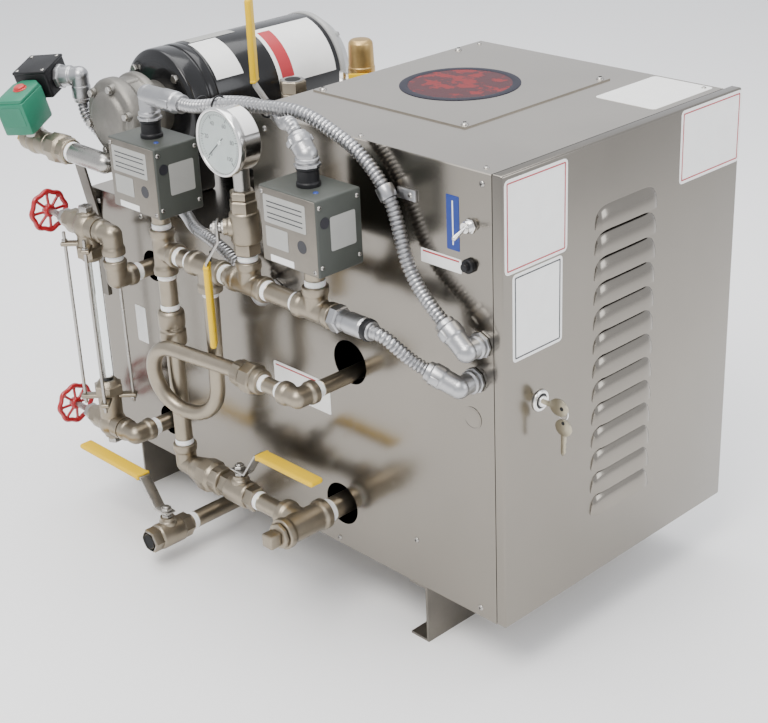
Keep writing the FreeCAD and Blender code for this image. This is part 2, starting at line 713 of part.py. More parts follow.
def upper_run():
    """Upper pipe run's tees and the column below its end; gives back the nipples between them."""
    stations = ["ColumnX", "SiphonTeeX", "GaugeTeeX", "ControlTeeX"]
    arms = [("X", "Z", "-Z"), ("X", "-X", "-Z"), ("X", "-X", "Z"), ("X", "-X", "Z")]
    centres = [(back(station), out("PipeOut"), up("UpperRunZ")) for station in stations]
    node("run_tees", [fitting(centre, arm) for centre, arm in zip(centres, arms)])
    nipples = []
    for left, right, centre in zip(stations, stations[1:], centres):
        nipples.append(rod("PipeR", "%s - %s - 2 * TeeReach" % (left, right),
                           along(centre, "X", "TeeReach"), "X"))
    stub = "ControlZ - UpperRunZ - TeeReach"
    riser = "GaugeValveZ - ValveReach - UpperRunZ - TeeReach"
    for centre, length in ((centres[0], stub), (centres[3], stub), (centres[2], riser)):
        nipples.append(rod("PipeR", length, along(centre, "Z", "TeeReach")))
    foot = (back("ColumnX"), out("PipeOut"), up("LowerRunZ"))
    node("column", [
        rod("PipeR", "UpperRunZ - LowerRunZ - 2 * TeeReach", along(foot, "Z", "TeeReach")),
        rod("BandR + 1.5", "46", (foot[0], foot[1], up("(UpperRunZ + LowerRunZ) / 2 + 20"))),
        fitting(foot, ("Z", "X")),
    ])
    return nipples


def lower_run():
    """Blowdown lever and plugged tee in front of the vessel's nipple; gives back the valve."""
    plane = out("PipeOut")
    level = up("LowerRunZ")
    valve = (back("BlowdownValveX"), plane, level)
    lever("blowdown_lever", valve, "Z", "X", "LeverLength", "CrankRise")
    tee = (back("BlowdownX"), plane, level)
    gap = "BlowdownValveX - BlowdownX - ValveReach - BigReach"
    node("blowdown_tee", [
        fitting(tee, ("-Y", "Y", "-X"), "BigFittingR", "BigBandR", "BigReach"),
        rod("PipeR", gap + " + BigReach", along(tee, "-X", gap + " + BigReach"), "X"),
        hexagon("30", "6", along(tee, "-Y", "BigReach"), "-Y"),
        block("17", "16", "17",
              (back("BlowdownX + 8.5"), out("PipeOut + BigReach + 16"), up("LowerRunZ - 8.5"))),
    ])
    return valve_body(valve, "X", "-X", "Z")


def siphon():
    """Steam pipe from the vessel through a loop up to the run."""
    corner = (back("SiphonX"), out("SiphonOut"), up("SiphonZ"))
    gap = "SiphonUnionX - 22 - SiphonX"
    node("siphon_elbow", [
        fitting(corner, ("Y", "-X"), "SiphonFittingR", "SiphonBandR", "SiphonReach"),
        rod("SiphonR", gap, along(corner, "-X", gap), "X"),
    ])
    start = where((back("SiphonUnionX + 22"), corner[1], corner[2]))
    top = where((back("SiphonTeeX"), out("PipeOut"), up("UpperRunZ - TeeReach")))
    turn = size("SiphonTurnR")
    left = top.x - 2 * turn
    low = start.z - 2 * turn
    points = [
        start,
        start - V(12, 0, 0),
        V(left, start.y - 17, start.z),
        V(left, start.y - 7, low),
        V(top.x, top.y - 4, low),
        top - V(0, 0, 12),
        top,
    ]
    radii = [60] + [turn * 0.98] * 3 + [60]
    node("siphon_pipe", [tube("siphon pipe", points, radii, size("SiphonR"))])


def unions():
    """Unions in the blowdown, siphon and feed-water lines."""
    level = up("SiphonZ")
    elbow_end = "ColumnX - TeeReach"
    node("unions", [
        union((back(elbow_end), out("PipeOut"), up("LowerRunZ")), "X",
              elbow_end + " - BlowdownValveX - ValveReach", "38"),
        union((back("SiphonUnionX - 22"), out("SiphonOut"), level), "-X", "44", "33"),
        union((back("SolenoidX - 30"), out("SolenoidOut"), up("SolenoidZ")), "X", "46", "36"),
    ])


def drain():
    """Drain pipe and lever under the cabinet; gives back the open-ended valve."""
    level = up("0 - DrainZ")
    valve = (back("DrainX"), out("DrainValveOut"), level)
    lever("drain_lever", valve, "Z", "-X", "DrainLeverLength", "CrankRise")
    corner = (back("DrainX"), deep("BodyDepth / 2"), level)
    node("drain_pipe", [
        rod("PipeR", "DrainValveOut - ValveReach + BodyDepth / 2", along(valve, "Y", "ValveReach"), "Y"),
        fitting(corner, ("Z", "-Y")),
        drain_riser(),
    ])
    return valve_body(valve, "Y", "-Y", "Z", open_end=True)


# ---------------------------------------------------------------- controls and gauge
def control_boxes():
    """Two pressure controls: boxes with a conduit hub on top."""
    boxes = []
    for station in ("ColumnX", "ControlTeeX"):
        low = (back(station + " + ControlWidth / 2"), out("PipeOut + ControlDepth / 2"),
               up("ControlZ"))
        hub = (back(station), out("PipeOut"), up("ControlZ + ControlHeight"))
        boxes.append(joined([
            block("ControlWidth", "ControlDepth", "ControlHeight", low),
            rod("HubR", "HubHeight", hub),
        ]))
    node("pressure_controls", boxes)


def gauge():
    """Pressure gauge and the lever of its isolating valve; gives back the valve."""
    valve = (back("GaugeTeeX"), out("PipeOut"), up("GaugeValveZ"))
    lever("gauge_lever", valve, "gauge_stem", "-Z", "LeverLength", "FlatRise")
    stem_low = along(valve, "Z", "ValveReach")
    face = (back("GaugeTeeX"), out("GaugeOut"), up("GaugeZ"))
    node("pressure_gauge", [
        without(joined([
            rod("GaugeR - 2.5", "GaugeDepth", face, "Y"),
            rod("GaugeR", "9", face, "Y"),
        ]), [rod("GaugeR - 4", "4", along(face, "-Y", "1"), "Y")]),
        hexagon("25", "10", stem_low, "Z"),
        rod("9", "GaugeZ - GaugeR + 5 - GaugeValveZ - ValveReach", stem_low),
    ])
    return valve_body(valve, "Z", "-Z", "gauge_stem")


def sight_glass():
    """Gauge glass between two angle valves, with its guard rods and handwheels."""
    plane = out("GlassOut")
    upper_ear = "GlassTopZ - UpperNutAt"
    lower_ear = "GlassLowZ + LowerNutAt - EarPlate"
    valves = []
    sides = (("upper", "GlassTopZ", "-Z", "UpperNutAt", upper_ear),
             ("lower", "GlassLowZ", "Z", "LowerNutAt", lower_ear))
    for name, level, inward, nut_at, ear_z in sides:
        centre = (back("GlassX"), plane, up(level))
        outward = "Z" if inward == "-Z" else "-Z"
        arms = []
        for spin in (45, -45):
            turn = FreeCAD.Rotation(V(0, 0, 1), spin)
            corner = turn.multVec(V(-size("RodSpread") - 5, -6, 0))
            arms.append(block("2 * RodSpread + 10", "12", "EarPlate", (
                back("GlassX - (%.4f)" % corner.x), out("GlassOut - (%.4f)" % corner.y), up(ear_z)), turn))
        valves.append(joined([
            ball("19", centre),
            rod("15", "GlassX - GlassPipeX - ElbowReach", centre, "X"),
            rod("15", nut_at, centre, inward),
            hexagon("NutFlats", "NutLength", along(centre, inward, nut_at), inward),
            hexagon("17", "26", centre, outward),
            rod("15", "24", centre, "-X"),
            hexagon("27", "30", along(centre, "-X", "22"), "-X"),
            rod("WheelStemR", "WheelAt - 3", centre, "-X"),
        ] + arms))
        wheel = along(centre, "-X", "WheelAt")
        spokes = []
        for index in range(4):
            turn = FreeCAD.Rotation(V(1, 0, 0), 45 * index)
            low = turn.multVec(V(0, -2.5, 0))
            bar = block("4", "5", "2 * WheelR - 2 * WheelRim", (
                back("GlassX + WheelAt + 2"),
                "%s + (%.4f) - (%.6f) * (WheelR - WheelRim)" % (plane, low.y, -math.sin(math.radians(45 * index))),
                "%s + (%.4f) - (%.6f) * (WheelR - WheelRim)" % (up(level), low.z, math.cos(math.radians(45 * index))),
            ), turn)
            spokes.append(bar)
        node(name + "_handwheel", [
            ring("WheelR - WheelRim", "WheelRim", wheel, "X"),
            rod("8", "10", along(wheel, "X", "5"), "-X"),
        ] + spokes, [rod("WheelStemR + RunGap", "8", along(wheel, "X", "6"), "-X")])
    node("glass_valves", valves)
    glass_low = "GlassLowZ + LowerNutAt + NutLength"
    node("sight_glass", [rod("GlassR", "GlassTopZ - UpperNutAt - NutLength - (%s)" % glass_low,
                             (back("GlassX"), plane, up(glass_low)))])
    rods = []
    for quarter in range(4):
        angle = math.radians(45 + 90 * quarter)
        rods.append(rod("RodR", "%s - (%s) - EarPlate" % (upper_ear, lower_ear), (
            back("GlassX - (%.6f) * RodSpread" % math.cos(angle)),
            out("GlassOut - (%.6f) * RodSpread" % math.sin(angle)),
            up(lower_ear + " + EarPlate"))))
    node("guard_rods", rods)
    upper = (back("GlassPipeX"), plane, up("GlassTopZ"))
    turn_in = (back("GlassPipeX"), plane, up("GlassUpperPipeZ"))
    lower = (back("GlassPipeX"), plane, up("GlassLowZ"))
    node("glass_elbows", [
        joined([
            fitting(upper, ("-X", "-Z"), reach="ElbowReach"),
            fitting(turn_in, ("Z", "Y"), reach="ElbowReach"),
            rod("PipeR", "GlassTopZ - GlassUpperPipeZ", turn_in),
        ]),
        fitting(lower, ("-X", "Y"), reach="ElbowReach"),
    ])


# ---------------------------------------------------------------- machinery on the deck
def pump():
    """Feed pump and its electric motor on the deck."""
    axis_at = (back("MotorX"), deep("0"), up("MotorZ"))
    front = along(axis_at, "-Y", "PumpFront")
    adaptor = along(axis_at, "Y", "MotorY - AdaptorLength")
    body = along(axis_at, "Y", "MotorY")
    node("pump_head", [
        rod("PumpR", "PumpDepth", front, "Y"),
        rod("PumpR - 14", "8", along(front, "-Y", "8"), "Y"),
        rod("PumpR - 16", "PumpFront + MotorY - AdaptorLength", front, "Y"),
        rod("16", "PumpDepth", (back("MotorX"), out("PumpFront"), up("SolenoidZ")), "Y"),
    ])
    node("motor_adaptor", [
        rod("MotorR", "AdaptorLength", adaptor, "Y"),
        block("100", "AdaptorLength", "MotorZ - LowHeight",
              (back("MotorX + 50"), deep("MotorY - AdaptorLength"), up("LowHeight"))),
    ])
    rear = "MotorY + MotorLength"
    node("motor", [
        rod("MotorR", "MotorLength", body, "Y"),
        rod("ConnectorR", "24", (back("MotorX - MotorR + 16"), deep("MotorY + 22"), up("MotorZ - 20")), "X"),
        block("84", "110", "MotorZ - LowHeight",
              (back("MotorX + 42"), deep("MotorY + 60"), up("LowHeight"))),
    ])
    node("motor_end", [
        rod("MotorR + 1", "8", along(axis_at, "Y", rear), "Y"),
        taper("MotorR + 1", "MotorR - 16", "EndBell - 8", along(axis_at, "Y", rear + " + 8"), "Y"),
    ])


def coil_outline():
    """Housing of the solenoid coil: flat in front and cut back behind."""
    half = "CoilWidth / 2"
    rear = "CoilDepth / 2"
    return [
        ("0 - " + half, "0 - " + rear),
        (half, "0 - " + rear),
        (half, rear + " - 10"),
        (half + " - 10", rear),
        ("10 - " + half, rear),
        ("0 - " + half, rear + " - 10"),
    ]


def box_connector_line():
    """The junction box's middle, and the corner of the conduit connector on its side."""
    centre = (back("SolenoidX"), out("SolenoidOut"), up("SolenoidZ"))
    middle = along(along(centre, "coil_up", "BoxUp + BoxHeight / 2"), "coil_back",
                   "CoilDepth / 2 + BoxSide / 2")
    return middle, along(middle, "coil_side", "BoxSide / 2 + 32")


def feed_water():
    """Feed-water solenoid valve with its coil, junction box, pipe to the pump and bracket."""
    centre = (back("SolenoidX"), out("SolenoidOut"), up("SolenoidZ"))
    node("solenoid_valve", [
        rod("15", "54", along(centre, "-X", "24"), "X"),
        hexagon("22", "12", along(centre, "-X", "24"), "-X"),
        rod("12", "CoilUp", centre, "coil_up"),
    ])
    coil_at = along(centre, "coil_up", "CoilUp")
    node("solenoid_coil", [
        plate("XY_Plane", coil_outline(), "CoilHeight", coil_at, rotation=COIL_TURN),
        rod("8", "5", along(along(coil_at, "coil_up", "CoilHeight"), "coil_back", "4"), "coil_up"),
    ])
    half = "BoxSide / 2"
    square = [("0 - " + half, "0 - " + half), (half, "0 - " + half), (half, half), ("0 - " + half, half)]
    box_middle = box_connector_line()[0]
    node("junction_box", [
        plate("XY_Plane", square, "BoxHeight", along(box_middle, "coil_up", "0 - BoxHeight / 2"),
              rotation=COIL_TURN),
    ])
    corner = (back("MotorX"), out("SolenoidOut"), up("SolenoidZ"))
    bend_gap = "SolenoidX - 76 - MotorX"
    node("feed_elbow", [
        ball("FittingR", corner),
        rod("FittingR", bend_gap, along(corner, "-X", bend_gap), "X"),
        rod("FittingR", "SolenoidOut - PumpFront", corner, "Y"),
    ])
    bend_z = "SolenoidZ - 90"
    strap = [
        ("0", "200"),
        ("0", bend_z),
        ("0 - 15", "SolenoidZ - 12"),
        ("0 - 18", "SolenoidZ - 12"),
        ("0 - 3", bend_z),
        ("0 - 3", "200"),
    ]
    node("pipe_bracket", [
        plate("YZ_Plane", strap, "20", (back("BracketX"), deep("0"), up("0")), centred=True),
    ])


def steam_outlet():
    """Lever of the steam valve; gives back the open-ended valve on its riser."""
    valve = (back("SteamX"), deep("SteamY"), up("SteamValveZ"))
    lever("steam_lever", valve, "steam_stem", "Z", "LeverLength", "FlatRise")
    return without(joined([
        valve_body(valve, "Z", "-Z", "steam_stem"),
        hexagon("28", "16", along(valve, "Z", "ValveReach - 1"), "Z"),
    ]), [rod("BoreR", "BoreDepth + 1", along(valve, "Z", "ValveReach + 15 - BoreDepth"))])


def relief():
    """Pressure relief valve with its test lever."""
    seat = (back("ReliefX"), deep("ReliefY"), up("ReliefZ"))
    hinge = along(along(seat, "Z", "56"), "test_lever", "0 - 10")
    node("relief_valve", [
        hexagon("28", "14", seat, "Z"),
        rod("13", "58", seat),
        taper("ReliefCapR", "ReliefCapR - 2", "42", along(seat, "Z", "57")),
        rod("15", "28", along(seat, "Z", "42"), "outlet"),
        rod("18", "5", along(along(seat, "Z", "42"), "outlet", "23"), "outlet"),
        rod("3", "22.7", hinge, "hinge_side"),
    ])
    turned = FreeCAD.Rotation(V(0, 0, 1), 45)
    web = along(along(along(seat, "Z", "50"), "test_lever", "0 - 16"), "hinge_side", "26")
    node("relief_lever", [
        block("55", "3", "12", web, turned),
        block("16", "22", "3", along(web, "test_lever", "39"), turned),
    ])


# ---------------------------------------------------------------- wiring
def angle_connector(foot, foot_axis, reach, arm_axis, arm):
    """Conduit connector with a locknut, a bend and an arm."""
    corner = along(foot, foot_axis, reach)
    return joined([
        rod("ConnectorR + 2", "7", foot, foot_axis),
        rod("ConnectorR", reach, foot, foot_axis),
        ball("ConnectorR", corner),
        rod("ConnectorR", arm, corner, arm_axis),
    ])


def arm_end(foot, foot_axis, reach, arm_axis, arm):
    """Where a connector's arm ends, and a point further out in line with it."""
    corner = along(foot, foot_axis, reach)
    return (where(along(corner, arm_axis, arm)),
            where(along(corner, arm_axis, "(%s) + 15" % arm)))


def wiring():
    """Angle connectors and the flexible conduits between them."""
    hub_top = up("ControlZ + ControlHeight + HubHeight")
    left_box = ((back("ColumnX"), out("PipeOut"), hub_top), "Z", "28", "X", "64")
    right_box = ((back("ControlTeeX"), out("PipeOut"), hub_top), "Z", "12", "control_arm", "24")
    upper_wall = ((back("29"), out("0"), up("327")), "-Y", "22", "upper_arm", "38")
    lower_wall = ((back("38"), out("0"), up("285")), "-Y", "24", "lower_arm", "37")
    hidden_wall = ((back("345"), out("0"), up("300")), "-Y", "22", "upper_arm", "30")
    run_end = along((back("ControlTeeX"), out("PipeOut"), up("UpperRunZ")), "X", "TeeReach")
    box_middle, shoulder = box_connector_line()
    node("conduit_connectors", [
        angle_connector(*left_box),
        angle_connector(*right_box),
        angle_connector(*upper_wall),
        angle_connector(*lower_wall),
        angle_connector(*hidden_wall),
        joined([hexagon("26", "12", run_end, "X"), rod("ConnectorR", "57", run_end, "X")]),
        joined([
            rod("15", "20", along(box_middle, "coil_side", "BoxSide / 2"), "coil_side"),
            rod("ConnectorR", "32", along(box_middle, "coil_side", "BoxSide / 2"), "coil_side"),
            ball("ConnectorR", shoulder),
            rod("ConnectorR", "34", shoulder, "-Z"),
        ]),
    ])
    radius = size("ConduitR")
    first, near_first = arm_end(*left_box)
    last, near_last = arm_end(*upper_wall)
    main = [
        first,
        near_first,
        from_corner(370, 59, 524),
        from_corner(350, 54, 528),
        from_corner(327, 46, 530),
        from_corner(300, 39, 531),
        from_corner(272, 32, 533),
        from_corner(246, 26, 531),
        from_corner(216, 20, 519),
        from_corner(179, 14, 500),
        from_corner(153, 12, 476),
        from_corner(136, 12, 453),
        from_corner(125, 14, 424),
        from_corner(113, 17, 396),
        from_corner(92, 20, 373),
        near_last,
        last,
    ]
    first, near_first = arm_end(*right_box)
    motor_end = where((back("MotorX - MotorR - 8"), deep("MotorY + 22"), up("MotorZ - 20")))
    branch = [
        first,
        near_first,
        from_corner(252, 45, 524),
        from_corner(275, 31, 516),
        from_corner(300, 20, 521),
        from_corner(328, 26, 527),
        from_corner(360, 36, 525),
        from_corner(392, 31, 516),
        from_corner(422, 10, 498),
        from_corner(452, -18, 478),
        from_corner(480, -55, 460),
        from_corner(500, -92, 442),
        motor_end + V(15, 0, 0),
        motor_end,
    ]
    last, near_last = arm_end(*lower_wall)
    probe_end = where(along(run_end, "X", "57"))
    lower = [
        probe_end,
        probe_end + V(14, 0, 0),
        from_corner(94, 51, 319),
        near_last,
        last,
    ]
    start = where(along(shoulder, "-Z", "34"))
    last, near_last = arm_end(*hidden_wall)
    feed = [
        start,
        start + V(0, 0, -20),
        from_corner(724, -38, 402),
        from_corner(702, -44, 380),
        from_corner(674, -44, 363),
        from_corner(642, -38, 357),
        from_corner(606, -28, 356),
        from_corner(570, -20, 356),
        from_corner(535, -11, 356),
        from_corner(503, 0, 354),
        from_corner(474, 13, 349),
        from_corner(445, 17, 346),
        from_corner(414, 19, 340),
        near_last,
        last,
    ]
    node("conduits", [
        tube("main conduit", main, even_radii(main), radius),
        tube("motor conduit", branch, even_radii(branch), radius),
        tube("probe conduit", lower, even_radii(lower), radius),
        tube("solenoid conduit", feed, even_radii(feed), radius),
    ])
    hold = (back("144.5"), out("12"), up("464.5"))
    node("conduit_strap", [
        without(rod("ConduitR + 2.2", "14", along(hold, "strap_run", "0 - 7"), "strap_run"),
                [rod("ConduitR + RunGap", "18", along(hold, "strap_run", "0 - 9"), "strap_run")]),
        block("26", "3", "12", (back("139"), out("3"), up("458"))),
    ])


def switches():
    """Toggle switch and reset button on the pipework wall."""
    toggle = (back("ToggleX"), out("0"), up("ToggleZ"))
    reset = (back("ResetX"), out("0"), up("ResetZ"))
    node("switch_bushings", [
        without(joined([rod("6", "9", toggle, "-Y"), hexagon("14", "2.5", toggle, "-Y")]),
                [rod("4.2", "7", along(toggle, "-Y", "2.2"), "-Y")]),
        without(rod("ResetR + 3", "5", reset, "-Y"),
                [rod("ResetR + 0.6", "7", along(reset, "Y", "1"), "-Y")]),
    ])
    pivot = along(toggle, "-Y", "6")
    drooped = FreeCAD.Rotation(V(0, 0, 1), V(0, -math.cos(math.radians(20)), -math.sin(math.radians(20))))
    node("toggle_lever", [
        ball("3.7", pivot),
        taper("1.9", "2.8", "20", pivot, rotation=drooped),
        rod("1.2", "7.9", along(pivot, "X", "0 - 3.95"), "X"),
    ])
    node("reset_button", [rod("ResetR", "9", along(reset, "-Y", "1"), "-Y")])


cabinet()
legs()
door()
lock()
vessel()
node("nipples", upper_run() + wall_nipples() + risers())
node("ball_valves", [lower_run(), drain(), gauge(), steam_outlet()])
siphon()
unions()
control_boxes()
sight_glass()
pump()
feed_water()
relief()
wiring()
switches()

# ---------------------------------------------------------------- check and write
doc.recompute()
for item in doc.Objects:
    if "Invalid" in item.State or "Error" in item.State:
        raise ValueError("%s (%s) failed: %s" % (item.Name, item.Label, item.State))
os.makedirs("parts", exist_ok=True)
for item in NODES:
    if item.Shape.isNull() or not item.Shape.isValid() or not item.Shape.Solids:
        raise ValueError("%s has no valid shape" % item.Label)
    item.Shape.exportStep(os.path.join("parts", item.Label + ".step"))
print("%d sub-parts" % len(NODES))
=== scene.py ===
import math

import bmesh
import bpy
from bpy.props import FloatProperty, FloatVectorProperty, IntProperty, PointerProperty
from mathutils import Matrix, Vector


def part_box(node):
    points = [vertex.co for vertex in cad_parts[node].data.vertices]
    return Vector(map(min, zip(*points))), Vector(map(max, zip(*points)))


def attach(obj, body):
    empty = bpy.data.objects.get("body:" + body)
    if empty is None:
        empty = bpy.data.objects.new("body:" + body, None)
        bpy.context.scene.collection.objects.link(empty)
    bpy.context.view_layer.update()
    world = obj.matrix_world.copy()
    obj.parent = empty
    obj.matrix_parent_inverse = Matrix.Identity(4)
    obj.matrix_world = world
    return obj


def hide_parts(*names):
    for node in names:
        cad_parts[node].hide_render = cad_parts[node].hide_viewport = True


bl_info = {
    "name": "Steam Boiler Finish",
    "version": (1, 0, 0),
    "blender": (4, 5, 0),
    "location": "3D View > Sidebar > Boiler",
    "description": "Builds the detailed pieces and finishes of a small electric steam boiler",
    "category": "Object",
}

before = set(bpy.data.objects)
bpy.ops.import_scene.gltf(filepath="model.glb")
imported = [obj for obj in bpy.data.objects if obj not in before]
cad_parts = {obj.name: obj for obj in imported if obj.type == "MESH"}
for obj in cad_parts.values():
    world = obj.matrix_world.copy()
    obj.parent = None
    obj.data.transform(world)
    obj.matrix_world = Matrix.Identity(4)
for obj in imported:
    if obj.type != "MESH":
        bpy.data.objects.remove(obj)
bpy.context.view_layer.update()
MM = 0.001
WALL_LOW, WALL_HIGH = (Vector(corner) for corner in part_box("pipework_wall"))
# corner between the outer faces of the door and the pipework wall, at the cabinet's underside
CORNER = Vector((WALL_HIGH.x + 13 * MM, WALL_LOW.y, WALL_LOW.z))

X, Y, Z = Vector((1, 0, 0)), Vector((0, 1, 0)), Vector((0, 0, 1))
HALF = math.sqrt(0.5)
LEAN = Matrix.Rotation(math.radians(15), 3, "X")
COIL = LEAN @ Matrix.Rotation(math.radians(25), 3, "Z")
COIL_UP, COIL_SIDE, COIL_BACK = COIL @ Z, COIL @ X, COIL @ Y
GAUGE_STEM = Vector((-HALF, -HALF, 0))
STEAM_STEM = Vector((-0.8, -0.6, 0))
TEST_LEVER = Vector((HALF, HALF, 0))
HINGE_SIDE = Vector((HALF, -HALF, 0))


def at(behind, deep, up):
    """Point behind the door, behind the pipework wall and above the cabinet base, in mm."""
    return CORNER + Vector((-behind, deep, up)) * MM


# ---------------------------------------------------------------- places
HOUSING_TOP, DECK_TOP, CABINET_DEEP, CABINET_LONG = 508, 346, 374, 706
HALF_INCH = 10.65  # outside radius of half-inch pipe
PIPE_PLANE = -61  # the pipework's middle plane, in front of the wall
CONTROLS = (470, 206)  # the two pressure controls, behind the door
BLOWDOWN_VALVE = at(364, PIPE_PLANE, 56)
DRAIN_VALVE = at(480, -92, -34)
GAUGE_VALVE = at(315, PIPE_PLANE, 402)
STEAM_VALVE = at(423, 110, 462)
PUMP_AXIS = at(620, 0, 453)
SOLENOID = at(766, -30, 402)
JUNCTION_BOX = SOLENOID + COIL_UP * 61 * MM + COIL_BACK * 54.5 * MM
ROUND_PLATE = at(251, 209.5, 509.5)
KEYHOLE = at(0, 55, 254)
LOUVRES, FIRST_LOUVRE, LOUVRE_PITCH, LOUVRE_MIDDLE = 13, 78, 28, 191
DIAL_START, DIAL_SWEEP, DIAL_MARKS = 225, 270, 50  # degrees, degrees, spaces
SHARP_ANGLE = math.radians(34)
RIB_TOP, RIB_DEPTH = 7.4, 1.7  # a conduit's ridge, and how far it falls between two
CAMERA_SPOT = (1.3267, -1.1706, 1.0543)
CAMERA_ANGLES = (46.959, 25.238, -2.586)  # azimuth, elevation and roll
CAMERA_LENS, CAMERA_SENSOR = 73.38, 36
SKY_COLOUR, SKY_STRENGTH = (0.93, 0.95, 1, 1), 1.15


# ---------------------------------------------------------------- settings
def length(name, description, default):
    """A length setting, in metres."""
    return FloatProperty(name=name, description=description, default=default, unit="LENGTH")


def tint(name, description, default):
    """A colour setting."""
    return FloatVectorProperty(name=name, description=description, subtype="COLOR", size=3,
                               default=default, min=0, max=1)


class BoilerSizes(bpy.types.PropertyGroup):
    """Sizes that aren't fixed by the frame."""

    cast_grain: length("Casting voxel", "Size of the detail kept on cast fittings", 0.0009)
    rib_pitch: length("Conduit pitch", "Pitch of the strip wound on the flexible conduits", 0.0048)
    tape_width: length("Tape width", "Thread-sealing tape showing at a joint", 0.0075)
    label_depth: length("Label thickness", "Thickness of the stuck-on labels", 0.0003)
    round_sides: IntProperty(
        name="Round sides", description="Sides of a turned piece", default=40, min=12)


class BoilerColours(bpy.types.PropertyGroup):
    """Colours of the boiler's finishes."""

    # the sheet and fitting tints are darker and browner than bare stainless: the steel's own colour
    # with a painted reflection of a dark floor in it
    sheet: tint("Stainless sheet", "Brushed cabinet sheet", (0.25, 0.23, 0.2))
    fitting: tint("Stainless fitting", "Cast and drawn pipework", (0.3, 0.26, 0.2))
    zinc: tint("Zinc", "Conduits and their connectors", (0.42, 0.42, 0.425))
    grip: tint("Lever grip", "Vinyl sleeves on the levers", (0.74, 0.47, 0.0))
    wheel: tint("Handwheel", "Enamel on the handwheels", (0.36, 0.004, 0.01))
    coil: tint("Coil housing", "Paint on the solenoid coil", (0.02, 0.17, 0.1))
    control: tint("Control case", "Paint on the pressure controls", (0.055, 0.06, 0.053))
    floor: tint("Floor", "Studio floor", (0.94, 0.94, 0.94))


def sizes():
    """The scene's size settings."""
    return bpy.context.scene.boiler_sizes


def colours():
    """The scene's colour settings."""
    return bpy.context.scene.boiler_colours


# ---------------------------------------------------------------- finishes
class Channel:
    """A shader socket that takes part in sums."""

    def __init__(self, finish, socket):
        self.finish = finish
        self.socket = socket

    def sum_with(self, operation, first, second):
        return self.finish.add("ShaderNodeMath", {"operation": operation}, {0: first, 1: second})

    def __add__(self, other):
        return self.sum_with("ADD", self, other)

    __radd__ = __add__

    def __mul__(self, other):
        return self.sum_with("MULTIPLY", self, other)

    def __gt__(self, other):
        return self.sum_with("GREATER_THAN", self, other)


class Finish:
    """A procedural material under construction."""

    made = {}

    def __init__(self, name):
        self.material = bpy.data.materials.new(name)
        self.material.use_nodes = True
        self.tree = self.material.node_tree
        self.tree.nodes.clear()

    def add(self, kind, settings, inputs, out=0):
        """A node of this type: its settings first, then its sockets; gives one output."""
        node = self.tree.nodes.new(kind)
        for name, value in settings.items():
            setattr(node, name, value)
        for name, value in inputs.items():
            if isinstance(value, Channel):
                self.tree.links.new(value.socket, node.inputs[name])
            else:
                node.inputs[name].default_value = value
        return Channel(self, node.outputs[out])

    def place(self, scale):
        """The piece's own coordinates, stretched."""
        where = self.add("ShaderNodeTexCoord", {}, {}, "Object")
        return self.add("ShaderNodeMapping", {}, {"Vector": where, "Scale": scale})

    def noise(self, scale, detail=3.0, stretch=(1, 1, 1), rough=0.5):
        """Fractal noise over the piece."""
        return self.add("ShaderNodeTexNoise", {}, {
            "Vector": self.place(stretch), "Scale": scale, "Detail": detail, "Roughness": rough})

    def between(self, factor, low, high):
        """Two colours mixed."""
        return self.add("ShaderNodeMix", {"data_type": "RGBA"},
                        {0: factor, 6: (*low, 1), 7: (*high, 1)}, 2)

    def bump(self, height, strength, distance):
        """Relief for a Normal socket; distance in metres."""
        return self.add("ShaderNodeBump", {}, {
            "Height": height, "Strength": strength, "Distance": distance})

    def surface(self, **sockets):
        """The finished material; sockets are named with underscores for spaces."""
        names = {name.replace("_", " "): value for name, value in sockets.items()}
        shader = self.add("ShaderNodeBsdfPrincipled", {}, names)
        output = self.tree.nodes.new("ShaderNodeOutputMaterial")
        self.tree.links.new(shader.socket, output.inputs["Surface"])
        return self.material


def shade(colour, factor):
    """The colour made lighter or darker."""
    return tuple(min(1.0, part * factor) for part in colour)


def brushed_sheet(name, stretch, colour):
    """Rolled sheet with a fine grain, faint smears and rub marks."""
    finish = Finish(name)
    grain = finish.noise(2200, 2, stretch)
    smear = finish.noise(7, 4, (1, 1, 0.6))
    spots = finish.noise(55, 5)
    tone = finish.between(smear * 0.7 + grain * 0.3, shade(colour, 0.8), shade(colour, 1.12))
    rough = 0.1 + grain * 0.07 + smear * 0.12 + (spots > 0.66) * 0.04
    return finish.surface(Base_Color=tone, Metallic=1.0, Roughness=rough,
                          Normal=finish.bump(grain, 0.1, 0.00008))


def cast_metal(name, colour, rough, grit=900, strength=0.35, blotch=0.25):
    """Cast or drawn metal: gritty skin, darker in patches."""
    finish = Finish(name)
    skin = finish.noise(grit, 5)
    patch = finish.noise(38, 5, rough=0.65)
    tone = finish.between(patch, shade(colour, 1 - blotch), shade(colour, 1 + blotch))
    return finish.surface(Base_Color=tone, Metallic=1.0,
                          Roughness=rough + patch * 0.16 + skin * 0.06,
                          Normal=finish.bump(skin, strength, 0.00035))


def painted(name, colour, rough, coat=0.0, grit=700, strength=0.12, worn=0.1, shine=0.5):
    """Paint or moulded plastic over a shell, slightly uneven."""
    finish = Finish(name)
    skin = finish.noise(grit, 4)
    patch = finish.noise(30, 4)
    tone = finish.between(patch, shade(colour, 1 - worn), shade(colour, 1 + worn))
    return finish.surface(Base_Color=tone, Metallic=0.0, Roughness=rough + patch * 0.1,
                          Coat_Weight=coat, Coat_Roughness=0.08, Specular_IOR_Level=shine,
                          Normal=finish.bump(skin, strength, 0.0002))


def printed(name, colour, shine=0.5):
    """Coated paper, a little creased and dusty."""
    finish = Finish(name)
    fibre = finish.noise(1500, 4)
    dust = finish.noise(60, 4)
    tone = finish.between(dust, shade(colour, 0.92), shade(colour, 1.04))
    return finish.surface(Base_Color=tone, Roughness=0.35 + fibre * 0.2, Specular_IOR_Level=shine,
                          Normal=finish.bump(dust * 0.6 + fibre * 0.4, 0.15, 0.0001))


